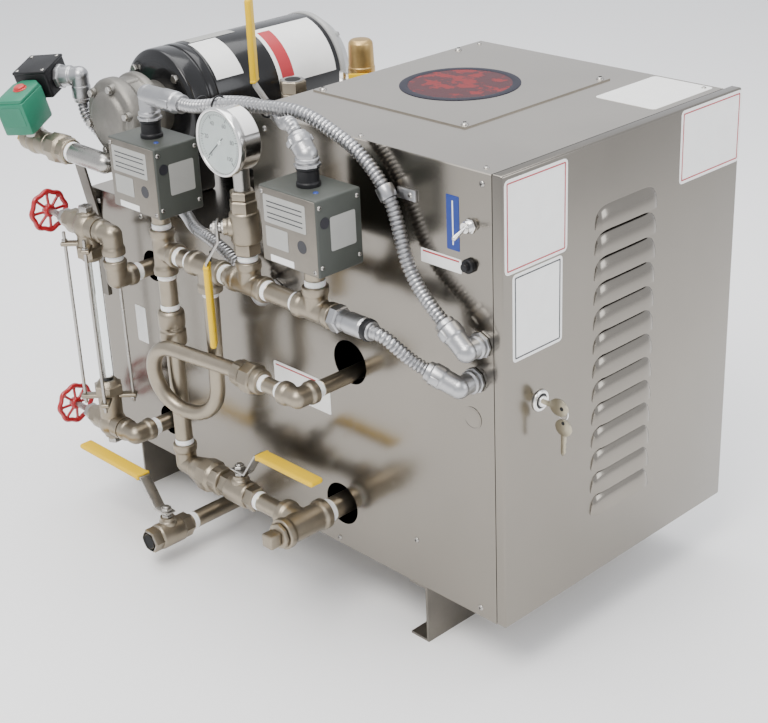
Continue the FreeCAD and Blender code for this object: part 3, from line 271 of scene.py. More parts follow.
def thread_tape():
    """White sealing tape wound on a thread."""
    finish = Finish("thread_tape")
    fold = finish.noise(420, 5)
    tone = finish.between(fold, (0.78, 0.77, 0.74), (0.97, 0.97, 0.96))
    return finish.surface(Base_Color=tone, Roughness=0.42 + fold * 0.2, Subsurface_Weight=0.1,
                          Subsurface_Scale=0.002, Normal=finish.bump(fold, 0.9, 0.0006))


def water_glass():
    """Clear gauge glass with a trace of scale."""
    finish = Finish("gauge_glass")
    scale_marks = finish.noise(80, 5)
    tone = finish.between(scale_marks, (0.86, 0.93, 0.91), (0.97, 1.0, 0.99))
    return finish.surface(Base_Color=tone, Roughness=0.02 + (scale_marks > 0.62) * 0.12,
                          Transmission_Weight=1.0, IOR=1.47)


def disc_paint():
    """Round plate with a mottled red middle inside a dark-blue rim."""
    finish = Finish("round_plate_red")
    cloud = finish.noise(45, 6, rough=0.7)
    tone = finish.between((cloud > 0.52) * 0.75, (0.045, 0.004, 0.008), (0.2, 0.004, 0.006))
    return finish.surface(Base_Color=tone, Roughness=0.35 + cloud * 0.15,
                          Specular_IOR_Level=0.25)


def make_finishes():
    """All the boiler's materials, once."""
    if Finish.made:
        return Finish.made
    hues = colours()
    made = Finish.made
    made["sheet_x"] = brushed_sheet("door_sheet", (1, 0.03, 1), hues.sheet)
    made["sheet_y"] = brushed_sheet("wall_sheet", (0.03, 1, 1), hues.sheet)
    # the top panels get the same sheet made twice as light: a painted highlight of the sky on the
    # upward faces
    made["sheet_top_painted_highlight"] = brushed_sheet("top_sheet_painted_highlight", (0.03, 1, 1), shade(hues.sheet, 2.0))
    metals = {
        "leg": ("leg_plate", shade(hues.sheet, 0.75), 0.34, 500, 0.15),
        "fitting": ("cast_fitting", hues.fitting, 0.27, 1100, 0.5),
        "pipe": ("drawn_pipe", shade(hues.fitting, 1.06), 0.24, 1500, 0.2),
        "machined": ("machined_steel", (0.4, 0.385, 0.36), 0.17, 2600, 0.1, 0.12),
        "vessel": ("vessel_plate", (0.08, 0.08, 0.08), 0.55, 500, 0.4),
        "zinc": ("zinc_strip", hues.zinc, 0.2, 1400, 0.18, 0.14),
        "diecast": ("die_casting", hues.zinc, 0.24, 650, 0.5, 0.16),
        "chrome": ("polished_metal", (0.8, 0.79, 0.77), 0.07, 2600, 0.05, 0.06),
        "brass": ("aged_brass", (0.5, 0.34, 0.14), 0.28),
        "bronze": ("pump_casting", (0.22, 0.21, 0.19), 0.42, 420, 0.9, 0.3),
        "key": ("key_alloy", (0.4, 0.36, 0.27), 0.25, 900, 0.2),
        "cover": ("control_cover", (0.22, 0.2, 0.17), 0.3, 1300, 0.25),
    }
    paints = {
        "grip": ("yellow_vinyl", hues.grip, 0.4, 0.0, 500, 0.2, 0.05, 0.25),
        "red": ("red_enamel", hues.wheel, 0.28, 0.7, 350, 0.35, 0.18),
        "coil": ("green_paint", hues.coil, 0.34, 0.1, 480, 0.4, 0.12, 0.3),
        "button": ("red_button", (0.45, 0.01, 0.01), 0.3, 0.4),
        "control": ("control_paint", hues.control, 0.36, 0.0, 650, 0.4, 0.15, 0.3),
        "black_gloss": ("motor_black", (0.006, 0.006, 0.0065), 0.16, 0.25, 260, 0.3, 0.2, 0.3),
        "grey_paint": ("bell_grey", (0.34, 0.34, 0.33), 0.3, 0.3, 420, 0.35),
        "black": ("black_plastic", (0.008, 0.008, 0.009), 0.4, 0.0, 900, 0.4, 0.1, 0.3),
        "dark": ("shadow_gap", (0.008, 0.008, 0.008), 0.9),
    }
    prints = {
        "white": ("white_label", (0.82, 0.82, 0.8)),
        "silver": ("silver_label", (0.33, 0.33, 0.31)),
        "rule_red": ("red_rule", (0.4, 0.02, 0.03)),
        "blue": ("blue_plate", (0.01, 0.035, 0.22)),
        "rim": ("dark_blue_rim", (0.002, 0.002, 0.012), 0.25),
        "dial": ("dial_white", (0.86, 0.86, 0.85)),
        "ink": ("dial_ink", (0.015, 0.015, 0.02)),
    }
    for make, rows in ((cast_metal, metals), (painted, paints), (printed, prints)):
        made.update({key: make(*row) for key, row in rows.items()})
    made.update(tape=thread_tape(), glass=water_glass(), disc=disc_paint())
    return made


def dress(names, finish):
    """Gives frame nodes a finish."""
    for name in names:
        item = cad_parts[name]
        if not item.material_slots:
            item.data.materials.append(None)
        for held in item.material_slots:
            held.link = "OBJECT"
            held.material = make_finishes()[finish]


# ---------------------------------------------------------------- solids
def linked(name, data):
    """A new object in the scene."""
    item = bpy.data.objects.new(name, data)
    bpy.context.scene.collection.objects.link(item)
    return item


def mesh_of(curve):
    """A curve turned into a mesh."""
    item = linked(curve.name, curve)
    shown = item.evaluated_get(bpy.context.evaluated_depsgraph_get())
    data = bpy.data.meshes.new_from_object(shown)
    bpy.data.objects.remove(item)
    return data


def swing(first, second, angle):
    """Direction at an angle from one direction towards another."""
    return first * math.cos(angle) + second * math.sin(angle)


def facing(out):
    """Turn that puts a block's length along this direction, square to the front."""
    return Matrix((out, Y, out.cross(Y))).transposed()


def square_to(axis):
    """Two directions square to an axis."""
    helper = Z if abs(axis.z) < 0.9 else X
    across = axis.cross(helper).normalized()
    return across, axis.cross(across).normalized()


def softened(profile, soft):
    """A profile with its corners eased."""
    if not soft:
        return profile
    eased = [profile[0]]
    for before, here, after in zip(profile, profile[1:], profile[2:]):
        before, here, after = Vector(before), Vector(here), Vector(after)
        short = min((here - before).length, (after - here).length)
        turn = (here - before).angle(after - here, 0)
        if turn < 0.3 or short < 1e-6 or here.y < 1e-6:
            eased.append(tuple(here))
            continue
        ease = min(soft, 0.45 * short)
        first = here + (before - here).normalized() * ease
        last = here + (after - here).normalized() * ease
        middle = (first + last + 2 * here) / 4
        eased += [tuple(first), tuple(middle), tuple(last)]
    return eased + [profile[-1]]


class Blank:
    """A piece under construction; its parts are added in place."""

    def __init__(self):
        self.mesh = bmesh.new()
        self.finishes = []

    def absorb(self, part, finish):
        """Adds a finished part."""
        if finish not in self.finishes:
            self.finishes.append(finish)
        bmesh.ops.recalc_face_normals(part, faces=part.faces)
        for face in part.faces:
            face.material_index = self.finishes.index(finish)
            face.smooth = True
        data = bpy.data.meshes.new("part")
        part.to_mesh(data)
        part.free()
        self.mesh.from_mesh(data)
        bpy.data.meshes.remove(data)

    def turned(self, start, axis, profile, finish, sides=None, soft=0.6):
        """Lathe work: (distance, radius) pairs in mm along an axis."""
        sides = sides or sizes().round_sides
        axis = Vector(axis).normalized()
        across, other = square_to(axis)
        part = bmesh.new()
        rings = []
        for distance, radius in softened(profile, soft):
            centre = Vector(start) + axis * distance * MM
            if radius < 0.01:
                rings.append([part.verts.new(centre)])
                continue
            ring = []
            for step in range(sides):
                angle = 2 * math.pi * step / sides
                ring.append(part.verts.new(
                    centre + swing(across, other, angle) * radius * MM))
            rings.append(ring)
        for low, high in zip(rings, rings[1:]):
            for step in range(sides):
                following = (step + 1) % sides
                corners = [low[step % len(low)], low[following % len(low)],
                           high[following % len(high)], high[step % len(high)]]
                distinct = list(dict.fromkeys(corners))
                if len(distinct) > 2:
                    part.faces.new(distinct)
        for ring in (rings[0], rings[-1]):
            if len(ring) > 2:
                part.faces.new(ring)
        self.absorb(part, finish)

    def nut(self, start, axis, flats, length, finish, sides=6):
        """Chamfered hexagon, or other many-sided nut."""
        corner = flats / 2 / math.cos(math.pi / sides)
        trim = min(length * 0.18, 1.6)
        self.turned(start, axis, [(0, corner * 0.88), (trim, corner), (length - trim, corner),
                                  (length, corner * 0.88)], finish, sides, 0.3)

    def block(self, centre, size, finish, turn=None, soft=0.6, steps=2):
        """Rectangular block, size in mm, with eased edges."""
        part = bmesh.new()
        bmesh.ops.create_cube(part, size=1)
        bmesh.ops.scale(part, vec=Vector(size) * MM, verts=part.verts)
        ease = min(soft, 0.45 * min(size)) * MM
        bmesh.ops.bevel(part, geom=part.edges[:], offset=ease, segments=steps, affect="EDGES",
                        profile=0.5)
        if turn:
            bmesh.ops.transform(part, matrix=turn.to_4x4(), verts=part.verts)
        bmesh.ops.translate(part, vec=Vector(centre), verts=part.verts)
        self.absorb(part, finish)

    def prism(self, base, across, upward, axis, outline, length, finish, soft=0.8):
        """Outline in mm, pushed out along an axis, with eased edges."""
        part = bmesh.new()
        corners = [part.verts.new(Vector(base) + (across * u + upward * v) * MM) for u,
                   v in outline]
        face = part.faces.new(corners)
        grown = bmesh.ops.extrude_face_region(part, geom=[face])
        moved = [item for item in grown["geom"] if isinstance(item, bmesh.types.BMVert)]
        bmesh.ops.translate(part, vec=axis * length * MM, verts=moved)
        if soft:
            bmesh.ops.bevel(part, geom=part.edges[:], offset=soft * MM, segments=2, affect="EDGES",
                            profile=0.5, clamp_overlap=True)
        self.absorb(part, finish)

    def swept(self, points, radius, finish, sides=18):
        """Round bar along points in metres; radius in mm, or a rule from distance to radius."""
        part = bmesh.new()
        heading = (points[1] - points[0]).normalized()
        across, other = square_to(heading)
        rings = []
        travelled = 0.0
        for index, point in enumerate(points):
            ahead = points[min(index + 1, len(points) - 1)] - points[max(index - 1, 0)]
            bend = heading.rotation_difference(ahead.normalized())
            heading = ahead.normalized()
            across = bend @ across
            other = heading.cross(across).normalized()
            if index:
                travelled += (point - points[index - 1]).length
            size = radius(travelled) if callable(radius) else radius
            ring = []
            for step in range(sides):
                angle = 2 * math.pi * step / sides
                ring.append(part.verts.new(
                    point + swing(across, other, angle) * size * MM))
            rings.append(ring)
        for low, high in zip(rings, rings[1:]):
            for step in range(sides):
                following = (step + 1) % sides
                part.faces.new([low[step], low[following], high[following], high[step]])
        part.faces.new(rings[0])
        part.faces.new(rings[-1])
        self.absorb(part, finish)

    def ball(self, centre, radius, finish):
        """Sphere, radius in mm."""
        profile = [(radius * -math.cos(math.pi * step / 12), radius * math.sin(math.pi * step / 12))
                   for step in range(13)]
        self.turned(centre, Z, profile, finish, soft=0)

    def label(self, centre, across, upward, width, height, finish, lift=0.0):
        """Thin stuck-on plate with rounded corners; size in mm."""
        outward = across.cross(upward).normalized()
        corner = min(width, height) * 0.06
        outline = []
        for sign_u, sign_v, start in ((1, 1, 0), (-1, 1, 90), (-1, -1, 180), (1, -1, 270)):
            for step in range(4):
                angle = math.radians(start + 30 * step)
                outline.append((sign_u * (width / 2 - corner) + corner * math.cos(angle),
                                sign_v * (height / 2 - corner) + corner * math.sin(angle)))
        base = Vector(centre) + outward * lift * MM
        self.prism(base, across, upward, outward, outline, sizes().label_depth / MM, finish, 0)

    def screw(self, centre, axis, radius):
        """Pan-head screw with a cross recess."""
        self.turned(centre, axis, [(-0.5, radius), (0.3, radius), (radius * 0.45, radius * 0.7),
                                   (radius * 0.55, 0)], "machined", 20, 0.4)
        across, other = square_to(Vector(axis).normalized())
        for first, second in ((across, other), (other, across)):
            turn = Matrix((first, second, Vector(axis).normalized())).transposed()
            self.block(Vector(centre) + Vector(axis).normalized() * radius * 0.5 * MM,
                       (radius * 0.9, radius * 0.2, radius * 0.16), "dark", turn, 0.02, 1)

    def stand_in(self, node, slot, body="cabinet", voxel=False):
        """The piece that takes one frame node's place."""
        self.piece(node + "_detail", body, slot, node, voxel=voxel)

    def piece(self, name, body, slot, *nodes, voxel=False):
        """Turns the work into an object that rides on a body and stands for frame nodes."""
        data = bpy.data.meshes.new(name)
        self.mesh.to_mesh(data)
        self.mesh.free()
        item = linked(name, data)
        if voxel:
            remesh = item.modifiers.new("Skin", "REMESH")
            remesh.mode = "VOXEL"
            remesh.voxel_size = sizes().cast_grain
            remesh.use_smooth_shade = True
            ease = item.modifiers.new("Ease", "SMOOTH")
            ease.factor = 0.5
            ease.iterations = 4
            shown = item.evaluated_get(bpy.context.evaluated_depsgraph_get())
            item.data = bpy.data.meshes.new_from_object(shown)
            item.modifiers.clear()
        else:
            data.set_sharp_from_angle(angle=SHARP_ANGLE)
        for finish in self.finishes:
            item.data.materials.append(make_finishes()[finish])
        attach(item, body)
        if nodes:
            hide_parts(*nodes)


# ---------------------------------------------------------------- pipework shapes
def fitting(blank, centre, arms, body=12.8, band=14.5, reach=28):
    """Cast tee or elbow: a round middle with collared arms."""
    blank.ball(centre, body, "fitting")
    arm = [(0, body), (reach - 11, body), (reach - 8.5, band), (reach - 0.3, band),
           (reach, band - 1.5)]
    for axis in arms:
        blank.turned(centre, axis, arm, "fitting", soft=1.6)


def tape(blank, point, axis, radius):
    """Wound tape: uneven turns with a ragged edge."""
    width = sizes().tape_width / MM
    blank.turned(point, axis, [(0, radius - 0.4), (0.3, radius + 0.5),
                               (width * 0.35, radius + 0.75),
                               (width * 0.4, radius + 0.45), (width * 0.8, radius + 0.6),
                               (width, radius - 0.4)], "tape", soft=0.3)


def threads(blank, point, axis, radius, length, finish="pipe"):
    """Tapered pipe thread showing outside a fitting."""
    profile = [(0, radius - 0.3)]
    step = 1.8
    for index in range(int(length / step)):
        profile += [(index * step + 0.5, radius + 0.55), (index * step + 1.4, radius - 0.1)]
    profile.append((length, radius - 0.3))
    blank.turned(point, axis, profile, finish, soft=0)


def ball_valve(blank, centre, run, stem, open_end=None):
    """Two-piece valve body: round middle, hexagon ends, packing nut on the stem."""
    for side in (-1, 1):
        blank.nut(centre + run * side * 15 * MM, run * side, 27, 16, "fitting")
    blank.turned(centre - run * 18 * MM, run, [(0, 14.6), (2, 16.5), (34, 16.5), (36, 14.6)],
                 "fitting",
                 soft=1.6)
    blank.turned(centre, stem, [(0, 11), (17, 11), (19, 9), (23, 9)], "fitting", soft=0.8)
    blank.nut(centre + stem * 21 * MM, stem, 12.5, 5, "machined")
    blank.turned(centre, stem, [(20, 5), (28.7, 5)], "machined", soft=0.3)
    if open_end:
        bore_ring(blank, centre + open_end * 31 * MM, open_end, 13.4)


def bore_ring(blank, end, axis, outer):
    """Dark threaded bore in the open end of a valve, with its bright rim."""
    blank.turned(end - axis * 0.6 * MM, axis, [(0, outer - 0.4), (0.6, outer - 0.4), (0.6, 9.6),
                                                (0.2, 9.2)], "machined", soft=0.1)
    blank.turned(end - axis * 0.55 * MM, axis, [(0, 9.3), (0.75, 9.3)], "dark", soft=0)


def lever(name, centre, stem, along, length, rise, slotted=False):
    """Bent stainless lever with a vinyl sleeve, held by a nut."""
    blank = Blank()
    hub = centre + stem * 29 * MM
    width = stem.cross(along).normalized()
    strip = [(-8, 0), (16, 0), (40, rise), (length, rise), (length, rise + 2.5), (38.8, rise + 2.5),
             (14.8, 2.5), (-8, 2.5)]
    blank.prism(hub - width * 7.5 * MM, along, stem, width, strip, 15, "machined", 0.5)
    low, high = 43, length + 2
    middle = hub + along * (low + high) / 2 * MM + stem * (rise + 1.25) * MM
    turn = Matrix((along, width, stem)).transposed()
    blank.block(middle, (high - low, 19, 7), "grip", turn, 3.2, 5)
    blank.block(hub + along * (low + 1.5) * MM + stem * (rise + 1.25) * MM, (4, 19.6, 7), "grip",
                turn, 1.6, 3)
    blank.nut(hub + stem * 2.4 * MM, stem, 12, 4, "machined")
    blank.turned(hub + stem * 1.2 * MM, stem, [(0, 4), (7, 4), (7.6, 3.2), (7.6, 0)], "machined",
                 soft=0.3)
    if slotted:
        blank.block(hub + along * 33 * MM + stem * (rise + 2.4 - 6) * MM, (12, 3, 1.5), "dark",
                    turn, 0.3)
    blank.stand_in(name, "lever_grip", name)


# ---------------------------------------------------------------- conduits
def nurbs_line(points):
    """Points read off a smooth line through a route."""
    curve = bpy.data.curves.new("route", "CURVE")
    curve.dimensions = "3D"
    curve.resolution_u = 24
    spline = curve.splines.new("NURBS")
    spline.points.add(len(points) - 1)
    for held, point in zip(spline.points, points):
        held.co = (*point, 1)
    spline.order_u = 3
    spline.use_endpoint_u = True
    data = mesh_of(curve)
    line = [vert.co.copy() for vert in data.vertices]
    bpy.data.meshes.remove(data)
    return line


def stepped(line, step):
    """The same line with points a fixed distance apart."""
    points = [line[0]]
    spare = 0.0
    for first, second in zip(line, line[1:]):
        length = (second - first).length
        distance = step - spare
        while distance < length:
            points.append(first.lerp(second, distance / length))
            distance += step
        spare = length - (distance - step)
    if (points[-1] - line[-1]).length > step * 0.4:
        points.append(line[-1])
    return points


def conduit(blank, points):
    """Strip-wound conduit: a ridge for each turn of the strip."""
    pitch = sizes().rib_pitch
    line = stepped(nurbs_line(points), pitch / 6)

    def rib(distance):
        phase = (distance / pitch) % 1.0
        return RIB_TOP - RIB_DEPTH * (0.5 - 0.5 * math.cos(2 * math.pi * phase)) ** 3

    blank.swept(line, rib, "zinc", 20)


def connector(blank, foot, foot_axis, reach, arm_axis, length):
    """Die-cast right-angle connector: locknut, throat, elbow and clamp."""
    corner = foot + foot_axis * reach * MM
    blank.nut(foot, foot_axis, 26, 4, "diecast", 8)
    blank.turned(foot, foot_axis, [(4, 11.5), (6, 12.6), (9, 12.6), (10, 10.6), (reach, 10.9)],
                 "diecast",
                 soft=0.8)
    blank.ball(corner, 11.4, "diecast")
    blank.turned(corner, arm_axis, [(0, 11), (length * 0.45, 11.3), (length * 0.5, 12.2),
                                    (length * 0.82, 12.2), (length * 0.86, 10.6), (length, 10.4),
                                    (length, 8)], "diecast", soft=1)
    side, other = square_to(arm_axis)
    turn = Matrix((arm_axis, side, other)).transposed()
    lug = corner + arm_axis * length * 0.66 * MM
    for sign in (-1, 1):
        blank.block(lug + side * sign * 11.5 * MM, (length * 0.3, 5, 9), "diecast", turn, 1.5, 3)
        blank.screw(lug + side * sign * 11.5 * MM + other * 4.5 * MM, other, 2.6)


# ---------------------------------------------------------------- operators
class BOILER_OT_cabinet(bpy.types.Operator):
    """Finish the sheet-metal housings and add their screws, round plate and labels"""

    bl_idname = "boiler.cabinet"
    bl_label = "Cabinet"

    def execute(self, context):
        dress(["rear_wall", "pipework_wall"], "sheet_y")
        dress(["cross_walls"], "sheet_x")
        # these panels take the copy of the sheet that is painted twice as light, a painted
        # highlight
        dress(["deck", "top_panel", "top_cover", "base_pan"], "sheet_top_painted_highlight")
        dress(["legs", "hinge_leaves", "pipe_bracket"], "leg")
        dress(["pressure_vessel"], "vessel")
        dress(["nipples", "drain_pipe", "siphon_pipe"], "pipe")
        dress(["feed_elbow"], "machined")
        blank = Blank()
        for x, z in ((262, 7), (132, 57), (36, 11), (25, 496), (484, 172), (345, 490), (690, 12),
                     (484, 12), (690, 330), (600, 330)):
            blank.screw(at(x, 0, z), -Y, 3.4)
            blank.screw(at(x, CABINET_DEEP, z), Y, 3.4)
        for x, y in ((140, 99), (358, 99), (140, 320), (358, 320)):
            blank.screw(at(x, y, 509.5), Z, 4.6)
        for x, y in ((30, 12), (200, 8), (362, 12), (30, 362), (362, 362)):
            blank.screw(at(x, y, HOUSING_TOP), Z, 3)
        for x, y in ((400, 30), (690, 30), (400, 350), (690, 350), (560, 350)):
            blank.screw(at(x, y, DECK_TOP), Z, 3)
        for y in (40, 190, 340):
            for z in (320, 30):
                blank.screw(at(CABINET_LONG, y, z), -X, 3.4)
        blank.piece("cabinet_screws", "cabinet", "stainless_sheet")
        plate = Blank()
        plate.turned(ROUND_PLATE, Z, [(0, 68.6), (0.5, 68.6), (0.5, 59), (0, 59)], "rim", 96, 0.1)
        plate.turned(ROUND_PLATE, Z, [(0, 59), (0.4, 59)], "disc", 96, 0.1)
        plate.turned(at(43, 0, 240), -Y, [(0, 12.5), (0.6, 12.5), (0.6, 11), (0.3, 10.6), (0.3, 0)],
                     "sheet_y", soft=0.2)
        plate.piece("round_plates", "cabinet", "stainless_sheet")
        labels = Blank()
        labels.label(at(62, 316, HOUSING_TOP), -X, -Y, 80, 107, "white")
        labels.label(at(64.5, 0, 447.5), X, Z, 17, 57, "blue")
        labels.label(at(64.5, 0, 447.5), X, Z, 1.6, 46, "white", 0.2)
        labels.label(at(82, 0, 403.5), X, Z, 56, 15, "white")
        labels.label(at(312, 0, 188), X, Z, 97, 40, "white")
        labels.label(at(625, 0, 177), X, Z, 22, 50, "white")
        for x, z, width in ((82, 408.5, 50), (312, 204, 90)):
            labels.label(at(x, 0, z), X, Z, width, 1.6, "rule_red", 0.3)
        labels.piece("cabinet_labels", "cabinet", None)
        return {"FINISHED"}


class BOILER_OT_door(bpy.types.Operator):
    """Build the folded door with its pressed louvres, hinge knuckles and labels"""

    bl_idname = "boiler.door"
    bl_label = "Door"

    def louvre(self, blank, low):
        """Pressed louvre: domed, rounded at its ends and open along its lower edge."""
        part = bmesh.new()
        grid = []
        across_steps, up_steps = 40, 12
        for up_step in range(up_steps + 1):
            row = []
            v = up_step / up_steps
            for step in range(across_steps + 1):
                u = -1 + 2 * step / across_steps
                end = max(0.0, 1 - abs(u) ** 7)
                rise = 6.9 * end ** 0.5 * max(0.0, 1 - v ** 2.2) ** 0.65
                lift = 24 * v * (0.12 + 0.88 * end ** 0.35)
                row.append(part.verts.new(at(-rise, LOUVRE_MIDDLE + 50 * u, low + lift)))
            grid.append(row)
        for low_row, high_row in zip(grid, grid[1:]):
            for step in range(across_steps):
                part.faces.new([low_row[step], low_row[step + 1], high_row[step + 1],
                                high_row[step]])
        blank.absorb(part, "sheet_x")
        mouth = bmesh.new()
        front, rear = [], []
        for step in range(across_steps + 1):
            u = -1 + 2 * step / across_steps
            rise = 6.3 * max(0.0, 1 - abs(u) ** 7) ** 0.5
            front.append(mouth.verts.new(at(-rise, LOUVRE_MIDDLE + 49.6 * u, low + 1.2)))
            rear.append(mouth.verts.new(at(0, LOUVRE_MIDDLE + 49.6 * u, low + 1.2)))
        for step in range(across_steps):
            mouth.faces.new([front[step], front[step + 1], rear[step + 1], rear[step]])
        blank.absorb(mouth, "dark")

    def pan(self, blank):
        """Folded pan, open behind."""
        part = bmesh.new()
        bmesh.ops.create_cube(part, size=1)
        bmesh.ops.scale(part, vec=Vector((12, 390, HOUSING_TOP)) * MM, verts=part.verts)
        bmesh.ops.translate(part, vec=at(6, 195, 254), verts=part.verts)
        behind = [face for face in part.faces if face.normal.x < -0.5]
        bmesh.ops.delete(part, geom=behind, context="FACES_ONLY")
        folds = [edge for edge in part.edges if len(edge.link_faces) == 2]
        bmesh.ops.bevel(part, geom=folds, offset=1.8 * MM, segments=3, affect="EDGES", profile=0.5)
        bmesh.ops.recalc_face_normals(part, faces=part.faces)
        if sum(face.normal.x for face in part.faces if abs(face.normal.x) > 0.9) < 0:
            bmesh.ops.reverse_faces(part, faces=part.faces)
        bmesh.ops.solidify(part, geom=part.faces[:], thickness=1.5 * MM)
        blank.absorb(part, "sheet_x")

    def execute(self, context):
        blank = Blank()
        self.pan(blank)
        for index in range(LOUVRES):
            self.louvre(blank, FIRST_LOUVRE + LOUVRE_PITCH * index)
        for low in (116.3, 392.3):
            blank.turned(at(15, 382, low), Z, [(0, 3.6), (0.6, 4), (57.4, 4), (58, 3.6)],
                         "machined")
            blank.block(at(11.5, 387.5, low + 29), (7, 2.4, 58), "machined")
        blank.stand_in("door", "stainless_sheet", "door")
        labels = Blank()
        for y, z, width, height in ((49.5, 454.5, 93, 97), (51.5, 357, 75, 94),
                                    (335.5, 465.5, 109, 81)):
            labels.label(at(0, y, z), Y, Z, width, height, "white")
            edge = "ink" if z < 400 else "rule_red"
            for side in (-1, 1):
                labels.label(at(0, y, z + side * (height / 2 - 4)), Y, Z, width - 8, 1.3, edge, 0.3)
                labels.label(at(0, y + side * (width / 2 - 4), z), Y, Z, 1.3, height - 8, edge, 0.3)
        labels.piece("door_labels", "door", None)
        return {"FINISHED"}


class BOILER_OT_lock(bpy.types.Operator):
    """Build the cam lock with its two keys"""

    bl_idname = "boiler.lock"
    bl_label = "Lock and keys"

    def execute(self, context):
        blank = Blank()
        face = KEYHOLE
        blank.turned(at(27.5, 55, 254), X, [(0, 8.8), (27, 8.8), (28, 9)], "machined")
        blank.turned(face + X * 0.5 * MM, X, [(0, 12), (1.6, 12), (2.6, 10.6), (2.6, 8.4),
                                              (1.6, 8)], "chrome",
                     soft=0.4)
        blank.turned(face + X * 0.5 * MM, X, [(1.4, 8.1), (2.2, 8.1), (2.2, 0)], "black", soft=0.2)
        blank.turned(face + X * 2 * MM, X, [(0, 6), (3, 6), (3.6, 5), (3.6, 0)], "chrome", soft=0.4)
        blank.block(at(21, 55, 254 + 23.8), (3, 14, 47), "machined", None, 0.8)
        blank.block(face + X * 12 * MM, (17, 1.9, 5.5), "key", None, 0.5)
        bow = [(12 * math.cos(k * math.pi / 14),
                9.6 * math.sin(k * math.pi / 14)) for k in range(28)]
        blank.prism(face + Vector((25.6, -1.1, 0)) * MM, X, Z, Y, bow, 2.2, "key", 0.5)
        blank.turned(face + Vector((30, -1.3, 0)) * MM, Y, [(0, 2.3), (2.6, 2.3)], "dark", 20, 0.1)
        loop = [face + Vector((31, 0, -5)) * MM + swing(X, Z, a) * 6.6 * MM
                for a in (k * math.pi / 16 for k in range(33))]
        blank.swept(loop, 0.6, "chrome", 8)
        spare = [(10.6 * math.cos(k * math.pi / 14),
                  9.4 * math.sin(k * math.pi / 14)) for k in range(28)]
        blank.prism(face + Vector((32, -1.2, -21)) * MM, X, Z, Y, spare, 2.2, "key", 0.5)
        blank.turned(face + Vector((32, -1.4, -15.5)) * MM, Y, [(0, 2.1), (2.6, 2.1)], "dark", 20,
                     0.1)
        blade = [(-3, 0), (3.2, 0), (3.2, -8), (2.2, -10), (3.3, -13), (2, -16), (3, -19), (0, -24),
                 (-3, -22)]
        blank.prism(face + Vector((32, -1.1, -29.5)) * MM, X, Z, Y, blade, 2, "key", 0.3)
        blank.stand_in("lock", "chrome", "lock")
        return {"FINISHED"}


